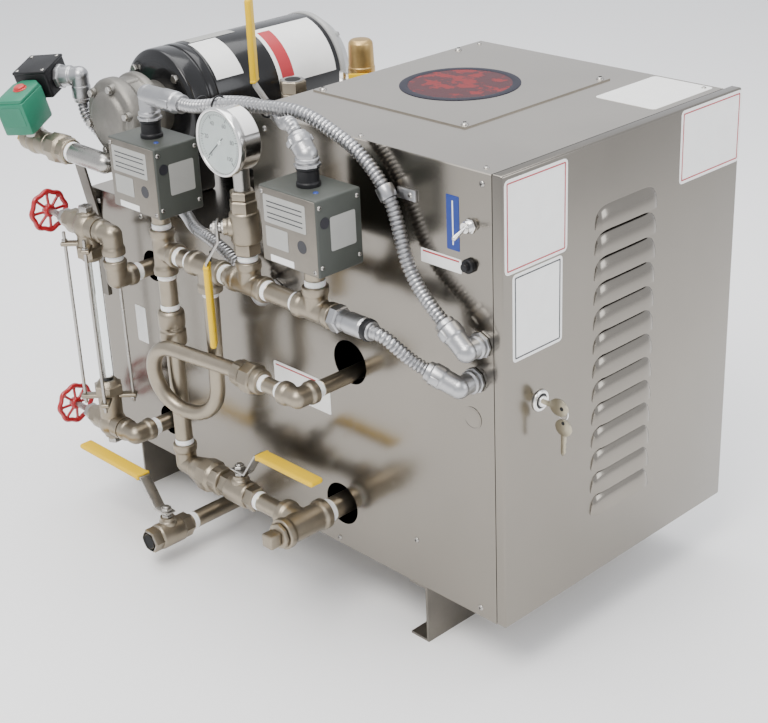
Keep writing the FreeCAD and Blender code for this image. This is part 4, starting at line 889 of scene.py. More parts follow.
class BOILER_OT_pipework(bpy.types.Operator):
    """Build the cast tees, elbows, unions and valve bodies, with tape at their threads"""

    bl_idname = "boiler.pipework"
    bl_label = "Pipework"

    def union(self, blank, start, axis, length, flats):
        """Union: tail, large nut with a rounded shoulder, and the smaller end hexagon."""
        blank.turned(start, axis, [(0, flats * 0.4), (1, flats * 0.44), (length - 1, flats * 0.44),
                                   (length, flats * 0.4)], "fitting")
        blank.nut(start + axis * length * 0.2 * MM, axis, flats, length * 0.42, "fitting", 8)
        blank.turned(start + axis * length * 0.6 * MM, axis,
                     [(0, flats * 0.5), (length * 0.08, flats * 0.44)],
                     "fitting", soft=0.3)
        blank.nut(start + axis * length * 0.66 * MM, axis, flats * 0.84, length * 0.3, "fitting", 6)

    def execute(self, context):
        run = [at(x, PIPE_PLANE, 335) for x in (470, 388, 315, 206)]
        blank = Blank()
        for centre, arms in zip(run, ((X, Z, -Z), (X, -X, -Z), (X, -X, Z), (X, -X, Z))):
            fitting(blank, centre, arms)
        blank.stand_in("run_tees", "stainless_fitting", voxel=True)
        foot = at(470, PIPE_PLANE, 56)
        column = Blank()
        column.turned(foot + Z * 28 * MM, Z, [(0, HALF_INCH), (223, HALF_INCH)], "pipe")
        column.turned(at(470, PIPE_PLANE, 215.5), Z, [(0, 13.5), (3, 16), (20, 16), (21.5, 15),
                                                      (24.5, 15), (26, 16),
                                               (43, 16), (46, 13.5)], "fitting", soft=1.6)
        fitting(column, foot, (Z, X))
        column.stand_in("column", "stainless_fitting")
        tee = at(254, PIPE_PLANE, 56)
        blow = Blank()
        fitting(blow, tee, (-Y, Y, -X), 16.2, 18.5, 33)
        blow.stand_in("blowdown_tee", "stainless_fitting", voxel=True)
        plug = Blank()
        plug.turned(tee - X * 33 * MM, -X, [(0, HALF_INCH), (46, HALF_INCH)], "pipe")
        plug.nut(tee - Y * 33 * MM, -Y, 29, 6, "fitting", 8)
        plug.block(tee - Y * 47 * MM, (16.6, 16, 16.6), "fitting", None, 2, 3)
        plug.piece("blowdown_plug", "cabinet", "stainless_fitting")
        corner = at(227, -78, 231)
        elbow = Blank()
        fitting(elbow, corner, (Y, -X), 11.5, 13.5, 24)
        elbow.stand_in("siphon_elbow", "stainless_fitting", voxel=True)
        tail = Blank()
        tail.turned(corner - X * 22 * MM, -X, [(0, 9), (36, 9)], "pipe")
        tail.piece("siphon_tail", "cabinet", "stainless_fitting")
        joints = Blank()
        self.union(joints, at(442, PIPE_PLANE, 56), X, 47, 38)
        self.union(joints, at(285, -78, 231), -X, 44, 33)
        self.union(joints, at(736, -30, 402), X, 46, 36)
        joints.stand_in("unions", "stainless_fitting")
        glass = Blank()
        for centre, arms in ((at(585, -55, 325), (-X, -Z)), (at(585, -55, 268), (Z, Y)),
                             (at(585, -55, 52), (-X, Y))):
            fitting(glass, centre, arms, reach=25)
        glass.turned(at(585, -55, 268), Z, [(0, HALF_INCH), (57, HALF_INCH)], "fitting")
        glass.stand_in("glass_elbows", "stainless_fitting", voxel=True)
        valves = Blank()
        ball_valve(valves, BLOWDOWN_VALVE, X, Z)
        ball_valve(valves, DRAIN_VALVE, Y, Z, -Y)
        ball_valve(valves, GAUGE_VALVE, Z, GAUGE_STEM)
        ball_valve(valves, STEAM_VALVE, Z, STEAM_STEM)
        valves.nut(at(423, 110, 492), Z, 28, 16, "fitting")
        bore_ring(valves, at(423, 110, 508), Z, 13.6)
        valves.stand_in("ball_valves", "stainless_fitting")
        wraps = Blank()
        spots = [
            (run[0] + Z * 28 * MM, Z, HALF_INCH), (run[0] + X * 28 * MM, X, HALF_INCH),
            (run[1] - X * 34 * MM, X, HALF_INCH),
            (run[1] + X * 28 * MM, X, HALF_INCH), (run[2] + X * 28 * MM, X, HALF_INCH),
            (run[2] + Z * 28 * MM, Z, HALF_INCH),
            (run[3] - X * 34 * MM, X, HALF_INCH), (run[3] + Z * 28 * MM, Z, HALF_INCH),
            (run[0] - Z * 34 * MM, Z, HALF_INCH),
            (at(470, PIPE_PLANE, 209), Z, HALF_INCH), (at(470, PIPE_PLANE, 262), Z, HALF_INCH),
            (foot + Z * 28 * MM, Z, HALF_INCH),
            (run[1] - Z * 34 * MM, Z, 9), (at(315, PIPE_PLANE, 433), Z, 9.4),
            (at(423, 110, 425), Z, HALF_INCH),
            (tee - X * 39 * MM, X, HALF_INCH), (at(333, PIPE_PLANE, 56), X, HALF_INCH),
            (at(395, PIPE_PLANE, 56), -X, HALF_INCH),
            (corner - X * 24 * MM, -X, 9), (at(285, -78, 231), X, 9),
            (at(585, -55, 293), Z, HALF_INCH), (at(585, -28, 268), Y, HALF_INCH),
            (at(585, -28, 52), Y, HALF_INCH),
            (at(480, -58, -34), Y, HALF_INCH), (at(478, 270, 405), Z, HALF_INCH),
            (at(254, -26, 56), Y, 13.35),
            (at(227, -52, 231), Y, 9), (at(690, -30, 402), X, 12.4),
        ]
        for point, axis, radius in spots:
            tape(wraps, point, axis, radius)
            threads(wraps, point + axis * 5 * MM, axis, radius, 5)
        wraps.piece("thread_tape_rings", "cabinet", None)
        return {"FINISHED"}


class BOILER_OT_levers(bpy.types.Operator):
    """Build the four sleeved valve levers"""

    bl_idname = "boiler.levers"
    bl_label = "Valve levers"

    def execute(self, context):
        lever("blowdown_lever", BLOWDOWN_VALVE, Z, X, 138, 34)
        lever("drain_lever", DRAIN_VALVE, Z, -X, 168, 34)
        lever("gauge_lever", GAUGE_VALVE, GAUGE_STEM, -Z, 138, 15, True)
        lever("steam_lever", STEAM_VALVE, STEAM_STEM, Z, 138, 15)
        return {"FINISHED"}


class BOILER_OT_controls(bpy.types.Operator):
    """Build the two pressure controls"""

    bl_idname = "boiler.controls"
    bl_label = "Pressure controls"

    def execute(self, context):
        blank = Blank()
        for x in CONTROLS:
            blank.block(at(x, PIPE_PLANE, 431), (87.5, 61, 82), "control", None, 2.2, 3)
            front = at(x, -92, 431)
            blank.block(front + Y * 0.8 * MM, (84, 1.8, 79), "cover", None, 0.8)
            for u, v, width, height in ((-4, 18, 64, 30), (-18, -12, 34, 22)):
                blank.label(front + Vector((u, 0.1, v)) * MM - Y * 0.2 * MM, X, Z, width, height,
                            "silver")
            blank.turned(front + Vector((20, 0.1, -12)) * MM, -Y, [(0, 7), (0.3, 7)], "ink", 32,
                         0.1)
            for v in (26, 21, 14, 9):
                blank.label(front + Vector((-4, -0.3, v)) * MM, X, Z, 54, 1.1, "ink")
            blank.label(front + Vector((-12, -0.1, -35)) * MM, X, Z, 36, 7, "white")
            side = at(x - 43.75, PIPE_PLANE, 431)
            blank.label(side + Vector((0.1, 4, 2)) * MM, Y, Z, 34, 36, "silver")
            blank.turned(side + Vector((0, -20, 16)) * MM, X, [(0, 6), (0.5, 6)], "ink", 28, 0.2)
            for y, z in ((-26, -30), (25, 33), (-26, 33), (25, -30)):
                blank.screw(side + Vector((0, y, z)) * MM, X, 2.6)
            for u, v in ((-38, 35), (38, -35)):
                blank.screw(front + Vector((u, -0.1, v)) * MM, -Y, 2.4)
            hub = at(x, PIPE_PLANE, 472)
            blank.turned(hub, Z, [(0, 12.8), (4, 12.8), (5, 11.4), (17, 11.4), (18, 12.4),
                                  (20, 12)], "black")
            blank.turned(hub + Vector((24, -12, 0)) * MM, Z, [(0, 3), (1, 2.4), (1.2, 0)], "blue",
                         20, 0.2)
        blank.stand_in("pressure_controls", "control_case")
        return {"FINISHED"}


class BOILER_OT_gauge(bpy.types.Operator):
    """Build the pressure gauge with a plain dial"""

    bl_idname = "boiler.gauge"
    bl_label = "Pressure gauge"

    def number(self, blank, text, centre, height):
        """A numeral lying on the dial."""
        curve = bpy.data.curves.new("numeral", "FONT")
        curve.body = text
        curve.size = height * MM
        curve.extrude = 0.05 * MM
        curve.align_x = "CENTER"
        curve.align_y = "CENTER"
        data = mesh_of(curve)
        part = bmesh.new()
        part.from_mesh(data)
        bpy.data.meshes.remove(data)
        turn = Matrix.Rotation(math.radians(90), 4, "X")
        bmesh.ops.transform(part, matrix=Matrix.Translation(centre) @ turn, verts=part.verts)
        blank.absorb(part, "ink")

    def execute(self, context):
        blank = Blank()
        face = at(315, -88, 501)
        blank.turned(face, Y, [(3.2, 0), (3.2, 33), (1.2, 33), (0, 34), (0, 36), (2, 37), (7, 37),
                               (9, 34.8),
                               (30, 34.5), (32, 32), (32, 0)], "chrome", 72, 0.6)
        blank.turned(face, Y, [(2.7, 0), (2.7, 32.9), (3.1, 32.9)], "dial", 72, 0)
        dial = face + Y * 2.55 * MM
        for index in range(DIAL_MARKS + 1):
            angle = math.radians(DIAL_START - DIAL_SWEEP * index / DIAL_MARKS)
            major = index % 10 == 0
            length = 4.4 if major else 2.4
            out = swing(X, Z, angle)
            turn = facing(out)
            blank.block(dial + out * (30.5 - length / 2) * MM, (length, 0.2, 1.0 if major else 0.5),
                        "ink",
                        turn, 0.02, 1)
            if major:
                self.number(blank, str(index * 2), dial + out * 21.2 * MM, 6.6)
        aim = math.radians(222)
        out = swing(X, Z, aim)
        turn = facing(out)
        blank.block(dial - Y * 0.5 * MM + out * 8 * MM, (34, 0.3, 1.3), "ink", turn, 0.1, 1)
        blank.turned(dial, -Y, [(0, 3.4), (1, 3), (1.2, 0)], "chrome", 24, 0.2)
        stem = at(315, PIPE_PLANE, 433)
        blank.nut(stem, Z, 25, 10, "fitting")
        blank.turned(stem, Z, [(10, 9), (36, 9)], "machined")
        blank.stand_in("pressure_gauge", "chrome")
        pane = Blank()
        pane.turned(face + Y * 0.8 * MM, Y, [(0, 0), (0, 32.9), (0.6, 32.9), (0.6, 0)], "glass", 72,
                    0)
        pane.piece("gauge_pane", "cabinet", "clear_glass")
        note = Blank()
        wrapped = [face + Y * 20 * MM + swing(X, Z, a) * 34.6 * MM
                   for a in (math.radians(20 + 4 * k) for k in range(16))]
        for first, second in zip(wrapped, wrapped[1:]):
            middle = (first + second) / 2
            out = (middle - face)
            out.y = 0
            out.normalize()
            note.label(middle, Y, Y.cross(out) * -1, 18, (second - first).length / MM + 0.3,
                       "white")
        note.piece("gauge_case_label", "cabinet", None)
        return {"FINISHED"}


class BOILER_OT_sight_glass(bpy.types.Operator):
    """Build the gauge glass, its angle valves, guard rods and lobed handwheels"""

    bl_idname = "boiler.sight_glass"
    bl_label = "Sight glass"

    def handwheel(self, name, level):
        """Lobed rim, eight spokes and a hub."""
        centre = at(722, -55, level)
        blank = Blank()
        rim = []
        for step in range(97):
            angle = 2 * math.pi * step / 96
            radius = 24.6 + 1.1 * math.cos(8 * angle)
            rim.append(centre + swing(Y, Z, angle) * radius * MM)
        blank.swept(rim, 3.3, "red", 14)
        for spoke in range(8):
            angle = 2 * math.pi * spoke / 8
            out = swing(Y, Z, angle)
            line = [centre + out * r * MM + X * lift * MM
                    for r, lift in ((6, 1.2), (10, 0.8), (15, 0.2), (20, 0), (24, 0))]
            blank.swept(line, 2.1, "red", 10)
        blank.turned(centre + X * 5 * MM, -X, [(0, 6.6), (1, 8), (9, 8), (10, 7)], "red")
        blank.stand_in(name, "handwheel_red", name, voxel=True)

    def execute(self, context):
        self.handwheel("upper_handwheel", 325)
        self.handwheel("lower_handwheel", 52)
        dress(["sight_glass"], "glass")
        blank = Blank()
        for level, inward, nut_at, ear in ((325, -Z, 25, 300), (52, Z, 43, 90)):
            centre = at(636, -55, level)
            blank.ball(centre, 18.6, "fitting")
            blank.turned(centre, X, [(0, 15), (26, 15)], "fitting")
            blank.turned(centre, inward, [(0, 15), (nut_at, 15)], "fitting")
            blank.turned(centre, -inward, [(0, 13), (17, 12), (18, 9), (20, 9)], "fitting")
            blank.nut(centre - inward * 18 * MM, -inward, 17, 8, "machined")
            blank.turned(centre, -X, [(0, 15), (23, 15)], "fitting")
            blank.nut(centre - X * 22 * MM, -X, 27, 14, "fitting")
            blank.turned(centre - X * 36 * MM, -X, [(0, 11.5), (3, 12), (4, 10.5), (8, 10.5)],
                         "fitting")
            blank.nut(centre - X * 43 * MM, -X, 20, 9, "machined")
            blank.turned(centre - X * 50 * MM, -X, [(0, 4), (38, 4), (40, 2.6), (41, 0)],
                         "machined", 20, 0.3)
            blank.nut(centre - X * 92.4 * MM, X, 8, 3, "machined")
            blank.nut(centre + inward * nut_at * MM, inward, 34, 14, "fitting")
            blank.turned(centre + inward * nut_at * MM, inward,
                         [(13.6, 16), (17, 13.5), (20, 11), (20, 8.2)],
                         "fitting")
            for spin in (45, -45):
                turn = Matrix.Rotation(math.radians(spin), 3, "Z")
                blank.block(at(636, -55, ear + 2.5), (72, 12, 5), "fitting", turn, 1.8, 3)
        for quarter in range(4):
            angle = math.radians(45 + 90 * quarter)
            spot = (636 - 31 * math.cos(angle), -55 - 31 * math.sin(angle))
            for low in (87.4, 305):
                blank.nut(at(*spot, low), Z, 7.5, 2.8, "machined")
            blank.turned(at(*spot, 82), Z, [(0, 1.8), (0.5, 2.2), (235, 2.2), (236, 1.8)],
                         "machined", 12, 0.2)
        blank.piece("glass_valves_detail", "cabinet", "stainless_fitting", "glass_valves",
                    "guard_rods")
        return {"FINISHED"}


class BOILER_OT_pump(bpy.types.Operator):
    """Build the feed pump and its motor"""

    bl_idname = "boiler.pump"
    bl_label = "Pump and motor"

    def band(self, blank, radius, start, end, low, high, finish):
        """Sticker wrapped round the motor, angles from straight up towards the pipework side."""
        axis = PUMP_AXIS
        part = bmesh.new()
        steps = 24
        rows = []
        for step in range(steps + 1):
            angle = math.radians(start + (end - start) * step / steps)
            out = X * math.sin(angle) + Z * math.cos(angle)
            rows.append([part.verts.new(axis + out * radius * MM + Y * reach * MM)
                         for reach in (low, high)])
        for first, second in zip(rows, rows[1:]):
            part.faces.new([first[0], first[1], second[1], second[0]])
        blank.absorb(part, finish)

    def execute(self, context):
        axis = PUMP_AXIS
        head = Blank()
        head.turned(axis - Y * 23 * MM, Y, [(0, 26), (3, 32), (8, 35), (8.5, 45), (14, 49),
                                            (26, 49), (29, 45),
                                            (44, 45), (47, 49), (56, 49), (58, 44)], "bronze",
                                            soft=2)
        head.turned(at(620, -15, 402), Y, [(0, 14), (3, 16), (47, 16), (50, 14)], "bronze",
                    soft=1.4)
        head.turned(axis, Y, [(30, 33), (58, 33)], "bronze")
        head.turned(axis - Y * 23 * MM, -Y, [(-1, 9), (0, 9), (0.2, 0)], "bronze")
        for index in range(6):
            angle = math.radians(60 * index + 15)
            out = swing(X, Z, angle)
            head.turned(axis - Y * 18 * MM + out * 40 * MM, Y, [(0, 5.5), (6, 7), (50, 7)],
                        "bronze", 20, 1)
            head.nut(axis - Y * 17.6 * MM + out * 40 * MM, -Y, 8, 4, "machined")
            rib = facing(out)
            head.block(axis - Y * 17 * MM + out * 20 * MM, (22, 6, 3.5), "bronze", rib, 1.2, 2)
        head.stand_in("pump_head", "cast_bronze")
        adaptor = Blank()
        adaptor.turned(axis, Y, [(58, 62), (61, 69), (64, 70), (84, 70), (85, 68), (88, 68),
                                 (89, 70), (99.5, 70),
                                 (100, 66)], "black_gloss", 72, 1.2)
        adaptor.block(at(620, 79, 370), (99, 40, 48), "black_gloss", None, 5, 3)
        adaptor.turned(axis, Y, [(57, 40), (57.4, 52), (59, 60)], "black_gloss", 60)
        for index in range(4):
            angle = math.radians(45 + 90 * index)
            out = swing(X, Z, angle)
            adaptor.nut(axis + Y * 58.5 * MM + out * 58 * MM, -Y, 10, 5, "machined")
        adaptor.stand_in("motor_adaptor", "motor_black")
        motor = Blank()
        motor.turned(axis, Y, [(100, 68), (101, 69.6), (299, 69.6), (300, 68)], "black_gloss", 96)
        for sticker in ((69.9, 8, 62, 104, 146, "white"), (69.9, -30, 6, 110, 180, "silver"),
                        (69.9, 14, 84, 196, 292, "white"), (70.0, 20, 78, 202, 222, "rule_red")):
            self.band(motor, *sticker)
        motor.block(at(620, 215, 348.5), (84, 110, 5), "black_gloss", None, 1.5)
        for x in (590, 650):
            motor.block(at(x, 215, 375), (6, 100, 52), "black_gloss", None, 1.5)
        motor.turned(at(550, 122, 433), X, [(-16, 11), (0, 11), (2, 12.4), (6, 12.4), (8, 10.6),
                                            (8, 8)],
                     "diecast", 28)
        for x in (585, 655):
            for y in (170, 260):
                motor.nut(at(x, y, 351), Z, 11, 5, "machined")
        motor.stand_in("motor", "motor_black")
        bell = Blank()
        bell.turned(axis, Y, [(300, 69), (301, 71), (308, 71), (310, 69), (326, 58), (329, 52),
                              (330, 40),
                              (330, 0)], "grey_paint", 96, 1.6)
        for index in range(12):
            angle = math.radians(30 * index)
            out = swing(X, Z, angle)
            turn = facing(out)
            bell.block(axis + Y * 329.3 * MM + out * 30 * MM, (20, 0.8, 6), "dark", turn, 0.3)
        for angle in (45, 135, 225, 315):
            out = swing(X, Z, math.radians(angle))
            bell.turned(axis + Y * 302 * MM + out * 62 * MM, Y, [(0, 7), (14, 6), (16, 5)],
                        "grey_paint", 24)
            bell.nut(axis + Y * 317 * MM + out * 62 * MM, Y, 8, 4, "machined")
        bell.stand_in("motor_end", "motor_grey")
        return {"FINISHED"}


class BOILER_OT_feed_water(bpy.types.Operator):
    """Build the solenoid valve with its coil and junction box"""

    bl_idname = "boiler.feed_water"
    bl_label = "Feed-water valve"

    def execute(self, context):
        centre = SOLENOID
        body = Blank()
        body.turned(centre - X * 24 * MM, X, [(0, 13), (2, 15), (14, 15), (16, 13.4), (32, 13.4),
                                              (34, 15),
                                              (52, 15), (54, 13)], "fitting", soft=1.6)
        body.ball(centre, 17, "fitting")
        body.nut(centre - X * 24 * MM, -X, 22, 8, "brass")
        body.block(centre - X * 33 * MM, (6, 10, 10), "brass", None, 1.2)
        body.turned(centre, COIL_UP, [(0, 12), (18, 12), (20, 14), (23.5, 14)], "machined")
        body.stand_in("solenoid_valve", "valve_brass")
        coil = Blank()
        outline = [(-21, -30), (21, -30), (21, 20), (11, 30), (-11, 30), (-21, 20)]
        base = centre + COIL_UP * 24 * MM
        coil.prism(base, COIL_SIDE, COIL_BACK, COIL_UP, outline, 44, "coil", 3)
        coil.prism(base + COIL_UP * 42 * MM, COIL_SIDE, COIL_BACK, COIL_UP,
                   [(u * 0.93, v * 0.93) for u, v in outline], 6, "coil", 2)
        coil.turned(base + COIL_UP * 47.6 * MM + COIL_BACK * 4 * MM, COIL_UP,
                    [(0, 9), (1.2, 9), (1.6, 7.4), (4, 7.2), (5, 5), (5, 0)], "button", 36, 0.8)
        coil.label(base + COIL_UP * 26 * MM - COIL_BACK * 30 * MM, COIL_SIDE, COIL_UP, 32, 26,
                   "coil", 0.1)
        coil.stand_in("solenoid_coil", "coil_green")
        middle = JUNCTION_BOX
        box = Blank()
        box.block(middle, (48.6, 48.6, 36), "black", COIL, 3, 3)
        box.block(middle + COIL_UP * 18 * MM, (49, 49, 4), "black", COIL, 1.4)
        for u in (-19, 19):
            for v in (-19, 19):
                box.screw(middle + COIL_UP * 19.8 * MM + COIL_SIDE * u * MM + COIL_BACK * v * MM,
                          COIL_UP, 2.6)
        box.stand_in("junction_box", "black_plastic")
        return {"FINISHED"}


class BOILER_OT_relief(bpy.types.Operator):
    """Build the relief valve and its test lever"""

    bl_idname = "boiler.relief"
    bl_label = "Relief valve"

    def execute(self, context):
        seat = at(478, 270, 416)
        blank = Blank()
        blank.nut(seat, Z, 28, 14, "brass")
        blank.turned(seat, Z, [(14, 12), (20, 13), (50, 13), (55, 15)], "brass", soft=1)
        blank.turned(seat + Z * 57 * MM, Z, [(-2, 15), (0, 17), (8, 17), (9, 16.3), (30, 15.8),
                                             (38, 15.4),
                                             (42, 12), (42, 0)], "brass", soft=1.4)
        blank.turned(seat + Z * 42 * MM, GAUGE_STEM, [(0, 15), (20, 15), (23, 18), (27.5, 18),
                                                      (28, 17),
                                                      (28, 10)], "machined")
        blank.turned(seat + Z * 42 * MM, GAUGE_STEM, [(27.2, 10.4), (28.05, 10.4)], "dark", 32, 0)
        hinge = seat + Z * 56 * MM - TEST_LEVER * 10 * MM
        blank.turned(hinge, HINGE_SIDE, [(0, 3), (22.2, 3), (22.7, 2.6)], "machined", 20, 0.3)
        blank.stand_in("relief_valve", "valve_brass")
        tray = Blank()
        web = seat + Z * 50 * MM - TEST_LEVER * 16 * MM + HINGE_SIDE * 26 * MM
        turn = Matrix((TEST_LEVER, -HINGE_SIDE, Z)).transposed()
        side = [(0, 0), (53, 0), (59, 15), (55, 16), (50, 12), (0, 12)]
        tray.prism(web - HINGE_SIDE * 3 * MM, TEST_LEVER, Z, HINGE_SIDE, side, 3, "grip", 0.8)
        tray.block(web + TEST_LEVER * 47 * MM - HINGE_SIDE * 11 * MM + Z * 1.5 * MM, (16, 22, 3),
                   "grip", turn,
                   1.2, 3)
        tray.stand_in("relief_lever", "lever_grip", "relief_lever")
        return {"FINISHED"}


class BOILER_OT_wiring(bpy.types.Operator):
    """Build the strip-wound conduits and their connectors"""

    bl_idname = "boiler.wiring"
    bl_label = "Conduits"

    def execute(self, context):
        control_arm = Vector((-0.7, 0.1, 0.7)).normalized()
        upper_arm = Vector((-0.8, 0, 0.6))
        lower_arm = Vector((-0.85, -0.35, 0.39)).normalized()
        strap_run = Vector((0.59, 0, -0.81)).normalized()
        hubs = [at(x, PIPE_PLANE, 492) for x in CONTROLS]
        middle = JUNCTION_BOX
        shoulder = middle + COIL_SIDE * 56.5 * MM
        blank = Blank()
        connector(blank, hubs[0], Z, 28, X, 64)
        connector(blank, hubs[1], Z, 12, control_arm, 24)
        connector(blank, at(29, 0, 327), -Y, 22, upper_arm, 38)
        connector(blank, at(38, 0, 285), -Y, 24, lower_arm, 37)
        connector(blank, at(345, 0, 300), -Y, 22, upper_arm, 30)
        run_end = at(178, PIPE_PLANE, 335)
        blank.nut(run_end, X, 26, 12, "diecast")
        blank.turned(run_end, X, [(12, 10.8), (20, 10.8), (22, 11.8), (44, 11.8), (46, 10.4),
                                  (57, 10.2), (57, 8)],
                     "diecast", soft=0.8)
        blank.nut(run_end + X * 46 * MM, X, 23, 9, "black", 12)
        blank.nut(middle + COIL_SIDE * 24.5 * MM, COIL_SIDE, 29, 8, "diecast", 8)
        blank.turned(middle + COIL_SIDE * 24.5 * MM, COIL_SIDE,
                     [(8, 13), (20, 13), (22, 11), (32, 11.4)],
                     "diecast", soft=0.8)
        blank.ball(shoulder, 11.4, "diecast")
        blank.turned(shoulder, -Z, [(0, 11), (12, 11.3), (14, 12.2), (28, 12.2), (30, 10.6),
                                    (34, 10.4), (34, 8)],
                     "diecast", soft=0.8)
        blank.stand_in("conduit_connectors", "zinc_casting")
        wall_end = at(29, -22, 327) + upper_arm * 38 * MM
        box_arm = hubs[0] + Z * 28 * MM + X * 64 * MM
        main = [box_arm, box_arm + X * 15 * MM]
        main += [at(*p) for p in (
            (370, -59, 524), (350, -54, 528), (327, -46, 530), (300, -39, 531), (272, -32, 533),
            (246, -26, 531), (216, -20, 519), (179, -14, 500), (153, -12, 476), (136, -12, 453),
            (125, -14, 424), (113, -17, 396), (92, -20, 373))]
        main += [wall_end + upper_arm * 15 * MM, wall_end]
        box_end = hubs[1] + Z * 12 * MM + control_arm * 24 * MM
        branch = [box_end, box_end + control_arm * 15 * MM]
        branch += [at(*p) for p in (
            (252, -45, 524), (275, -31, 516), (300, -20, 521), (328, -26, 527), (360, -36, 525),
            (392, -31, 516), (422, -10, 498), (452, 18, 478), (480, 55, 460), (500, 92, 442),
            (527, 122, 433), (542, 122, 433))]
        probe = run_end + X * 57 * MM
        low_end = at(38, -24, 285) + lower_arm * 37 * MM
        lower = [probe, probe + X * 14 * MM, at(94, -51, 319), low_end + lower_arm * 15 * MM,
                 low_end]
        start = shoulder - Z * 34 * MM
        hidden = at(345, -22, 300) + upper_arm * 30 * MM
        feed = [start, start - Z * 20 * MM]
        feed += [at(*p) for p in (
            (724, 38, 402), (702, 44, 380), (674, 44, 363), (642, 38, 357), (606, 28, 356),
            (570, 20, 356), (535, 11, 356), (503, 0, 354), (474, -13, 349), (445, -17, 346),
            (414, -19, 340))]
        feed += [hidden + upper_arm * 15 * MM, hidden]
        lines = Blank()
        for route in (main, branch, lower, feed):
            conduit(lines, route)
        lines.stand_in("conduits", "zinc_casting")
        hold = Blank()
        centre = at(144.5, -12, 464.5)
        hold.turned(centre - strap_run * 7 * MM, strap_run,
                    [(0, 8.2), (0, 9.4), (7, 9.7), (14, 9.4), (14, 8.2)],
                    "zinc", 36, 0.4)
        hold.block(at(126, -1.5, 464), (26, 3, 12), "zinc", None, 1)
        hold.screw(at(120, -3, 464), -Y, 3.2)
        for behind, deep, high in ((352, -54, 528), (300, -30, 527), (392, -46, 519)):
            ring = [at(behind, deep, high) + swing(Y, Z, a) * 9 * MM
                    for a in (k * math.pi / 12 for k in range(25))]
            hold.swept(ring, 1.1, "black", 8)
        hold.stand_in("conduit_strap", "zinc_casting")
        return {"FINISHED"}


class BOILER_OT_switches(bpy.types.Operator):
    """Build the toggle switch and reset button"""

    bl_idname = "boiler.switches"
    bl_label = "Switches"

    def execute(self, context):
        toggle, reset = at(41, 0, 450), at(43, 0, 408)
        fixed = Blank()
        fixed.nut(toggle, -Y, 14, 2.6, "chrome")
        threads(fixed, toggle - Y * 2.4 * MM, -Y, 5.7, 6.4, "chrome")
        fixed.turned(reset, -Y, [(0, 7.6), (4, 7.6), (5, 6.8), (5, 5.3)], "black")
        fixed.stand_in("switch_bushings", "chrome")
        bat = Blank()
        tilt = Vector((0, -math.cos(math.radians(20)), -math.sin(math.radians(20))))
        bat.turned(toggle - Y * 6 * MM, tilt, [(-3.4, 0), (-2.4, 2.6), (0, 3.6), (2.4, 2.6),
                                               (3, 1.8), (16, 2.6),
                                               (19.4, 2.5), (20.4, 1.4), (20.6, 0)], "chrome", 28,
                                               0.6)
        bat.stand_in("toggle_lever", "chrome", "toggle_lever")
        button = Blank()
        button.turned(reset - Y * 1 * MM, -Y, [(0, 4.4), (8, 4.4), (9, 3.4), (9, 0)], "black", 28)
        button.stand_in("reset_button", "black_plastic", "reset_button")
        return {"FINISHED"}


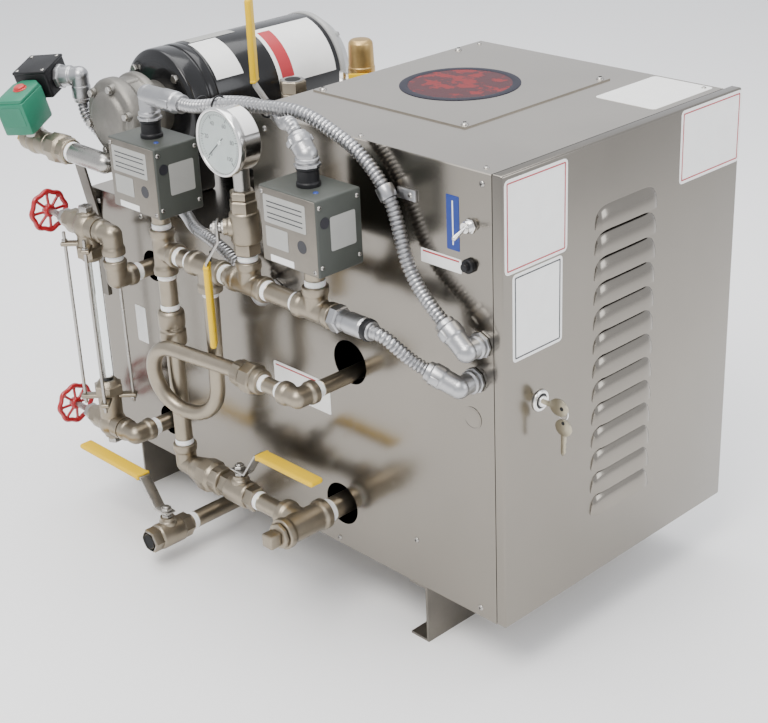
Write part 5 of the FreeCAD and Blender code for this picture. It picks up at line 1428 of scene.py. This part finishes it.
class BOILER_OT_stage(bpy.types.Operator):
    """Set up the studio floor, soft lights and camera"""

    bl_idname = "boiler.stage"
    bl_label = "Studio"

    def lamp(self, name, spot, size, power, target, colour=(1, 1, 1)):
        """Soft rectangular light aimed at a point."""
        light = bpy.data.lights.new(name, "AREA")
        light.shape = "RECTANGLE"
        light.size, light.size_y = size
        light.energy = power
        light.color = colour
        item = linked(name, light)
        item.location = spot
        item.rotation_euler = (Vector(target) - Vector(spot)).to_track_quat("-Z", "Y").to_euler()

    def execute(self, context):
        scene = context.scene
        finish = Finish("studio_floor")
        wear = finish.noise(3, 3)
        paint = finish.between(wear, shade(colours().floor, 0.98), colours().floor)
        material = finish.surface(Base_Color=paint, Roughness=0.75,
                                  Normal=finish.bump(finish.noise(60, 3), 0.02, 0.0005))
        part = bmesh.new()
        bmesh.ops.create_grid(part, x_segments=8, y_segments=8, size=14)
        data = bpy.data.meshes.new("studio_floor")
        part.to_mesh(data)
        part.free()
        data.materials.append(material)
        floor = linked("studio_floor", data)
        world = bpy.data.worlds.new("studio")
        world.use_nodes = True
        sky = world.node_tree.nodes["Background"].inputs
        sky["Color"].default_value = SKY_COLOUR
        sky["Strength"].default_value = SKY_STRENGTH
        scene.world = world
        self.lamp("key", (0.6, -1.6, 2.6), (1.6, 1.2), 75, (0, 0, 0.3), (1, 0.97, 0.93))
        self.lamp("overhead", (-0.4, 0.3, 2.8), (2.4, 2.4), 70, (0, 0, 0))
        self.lamp("side", (2.6, 0.9, 1.3), (1.2, 1.6), 22, (0, 0, 0.35), (0.95, 0.97, 1))
        azimuth, elevation, roll = (math.radians(angle) for angle in CAMERA_ANGLES)
        view = Vector((-math.sin(azimuth) * math.cos(elevation),
                       math.cos(azimuth) * math.cos(elevation),
                       -math.sin(elevation)))
        right = view.cross(Z).normalized()
        upward = right.cross(view)
        across = swing(right, upward, roll)
        over = upward * math.cos(roll) - right * math.sin(roll)
        camera = bpy.data.cameras.new("camera")
        camera.lens = CAMERA_LENS
        camera.sensor_width = CAMERA_SENSOR
        item = linked("camera", camera)
        turn = Matrix((across, over, -view)).transposed()
        item.matrix_world = Matrix.Translation(CAMERA_SPOT) @ turn.to_4x4()
        scene.camera = item
        return {"FINISHED"}


class BOILER_PT_panel(bpy.types.Panel):
    """Lists the boiler's pieces and settings"""

    bl_idname = "BOILER_PT_panel"
    bl_label = "Steam boiler"
    bl_space_type = "VIEW_3D"
    bl_region_type = "UI"
    bl_category = "Boiler"

    def draw(self, context):
        for item in OPERATORS:
            self.layout.operator(item.bl_idname)
        for group in (context.scene.boiler_sizes, context.scene.boiler_colours):
            column = self.layout.column()
            for name in group.__annotations__:
                column.prop(group, name)


OPERATORS = (
    BOILER_OT_cabinet,
    BOILER_OT_door,
    BOILER_OT_lock,
    BOILER_OT_pipework,
    BOILER_OT_levers,
    BOILER_OT_controls,
    BOILER_OT_gauge,
    BOILER_OT_sight_glass,
    BOILER_OT_pump,
    BOILER_OT_feed_water,
    BOILER_OT_relief,
    BOILER_OT_wiring,
    BOILER_OT_switches,
    BOILER_OT_stage,
)
CLASSES = (BoilerSizes, BoilerColours, *OPERATORS, BOILER_PT_panel)


def register():
    for item in CLASSES:
        bpy.utils.register_class(item)
    bpy.types.Scene.boiler_sizes = PointerProperty(type=BoilerSizes)
    bpy.types.Scene.boiler_colours = PointerProperty(type=BoilerColours)


def unregister():
    del bpy.types.Scene.boiler_colours
    del bpy.types.Scene.boiler_sizes
    for item in reversed(CLASSES):
        bpy.utils.unregister_class(item)


def main():
    register()
    for item in OPERATORS:
        getattr(bpy.ops.boiler, item.bl_idname.split(".")[1])()
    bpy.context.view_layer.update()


if __name__ == "__main__":
    main()
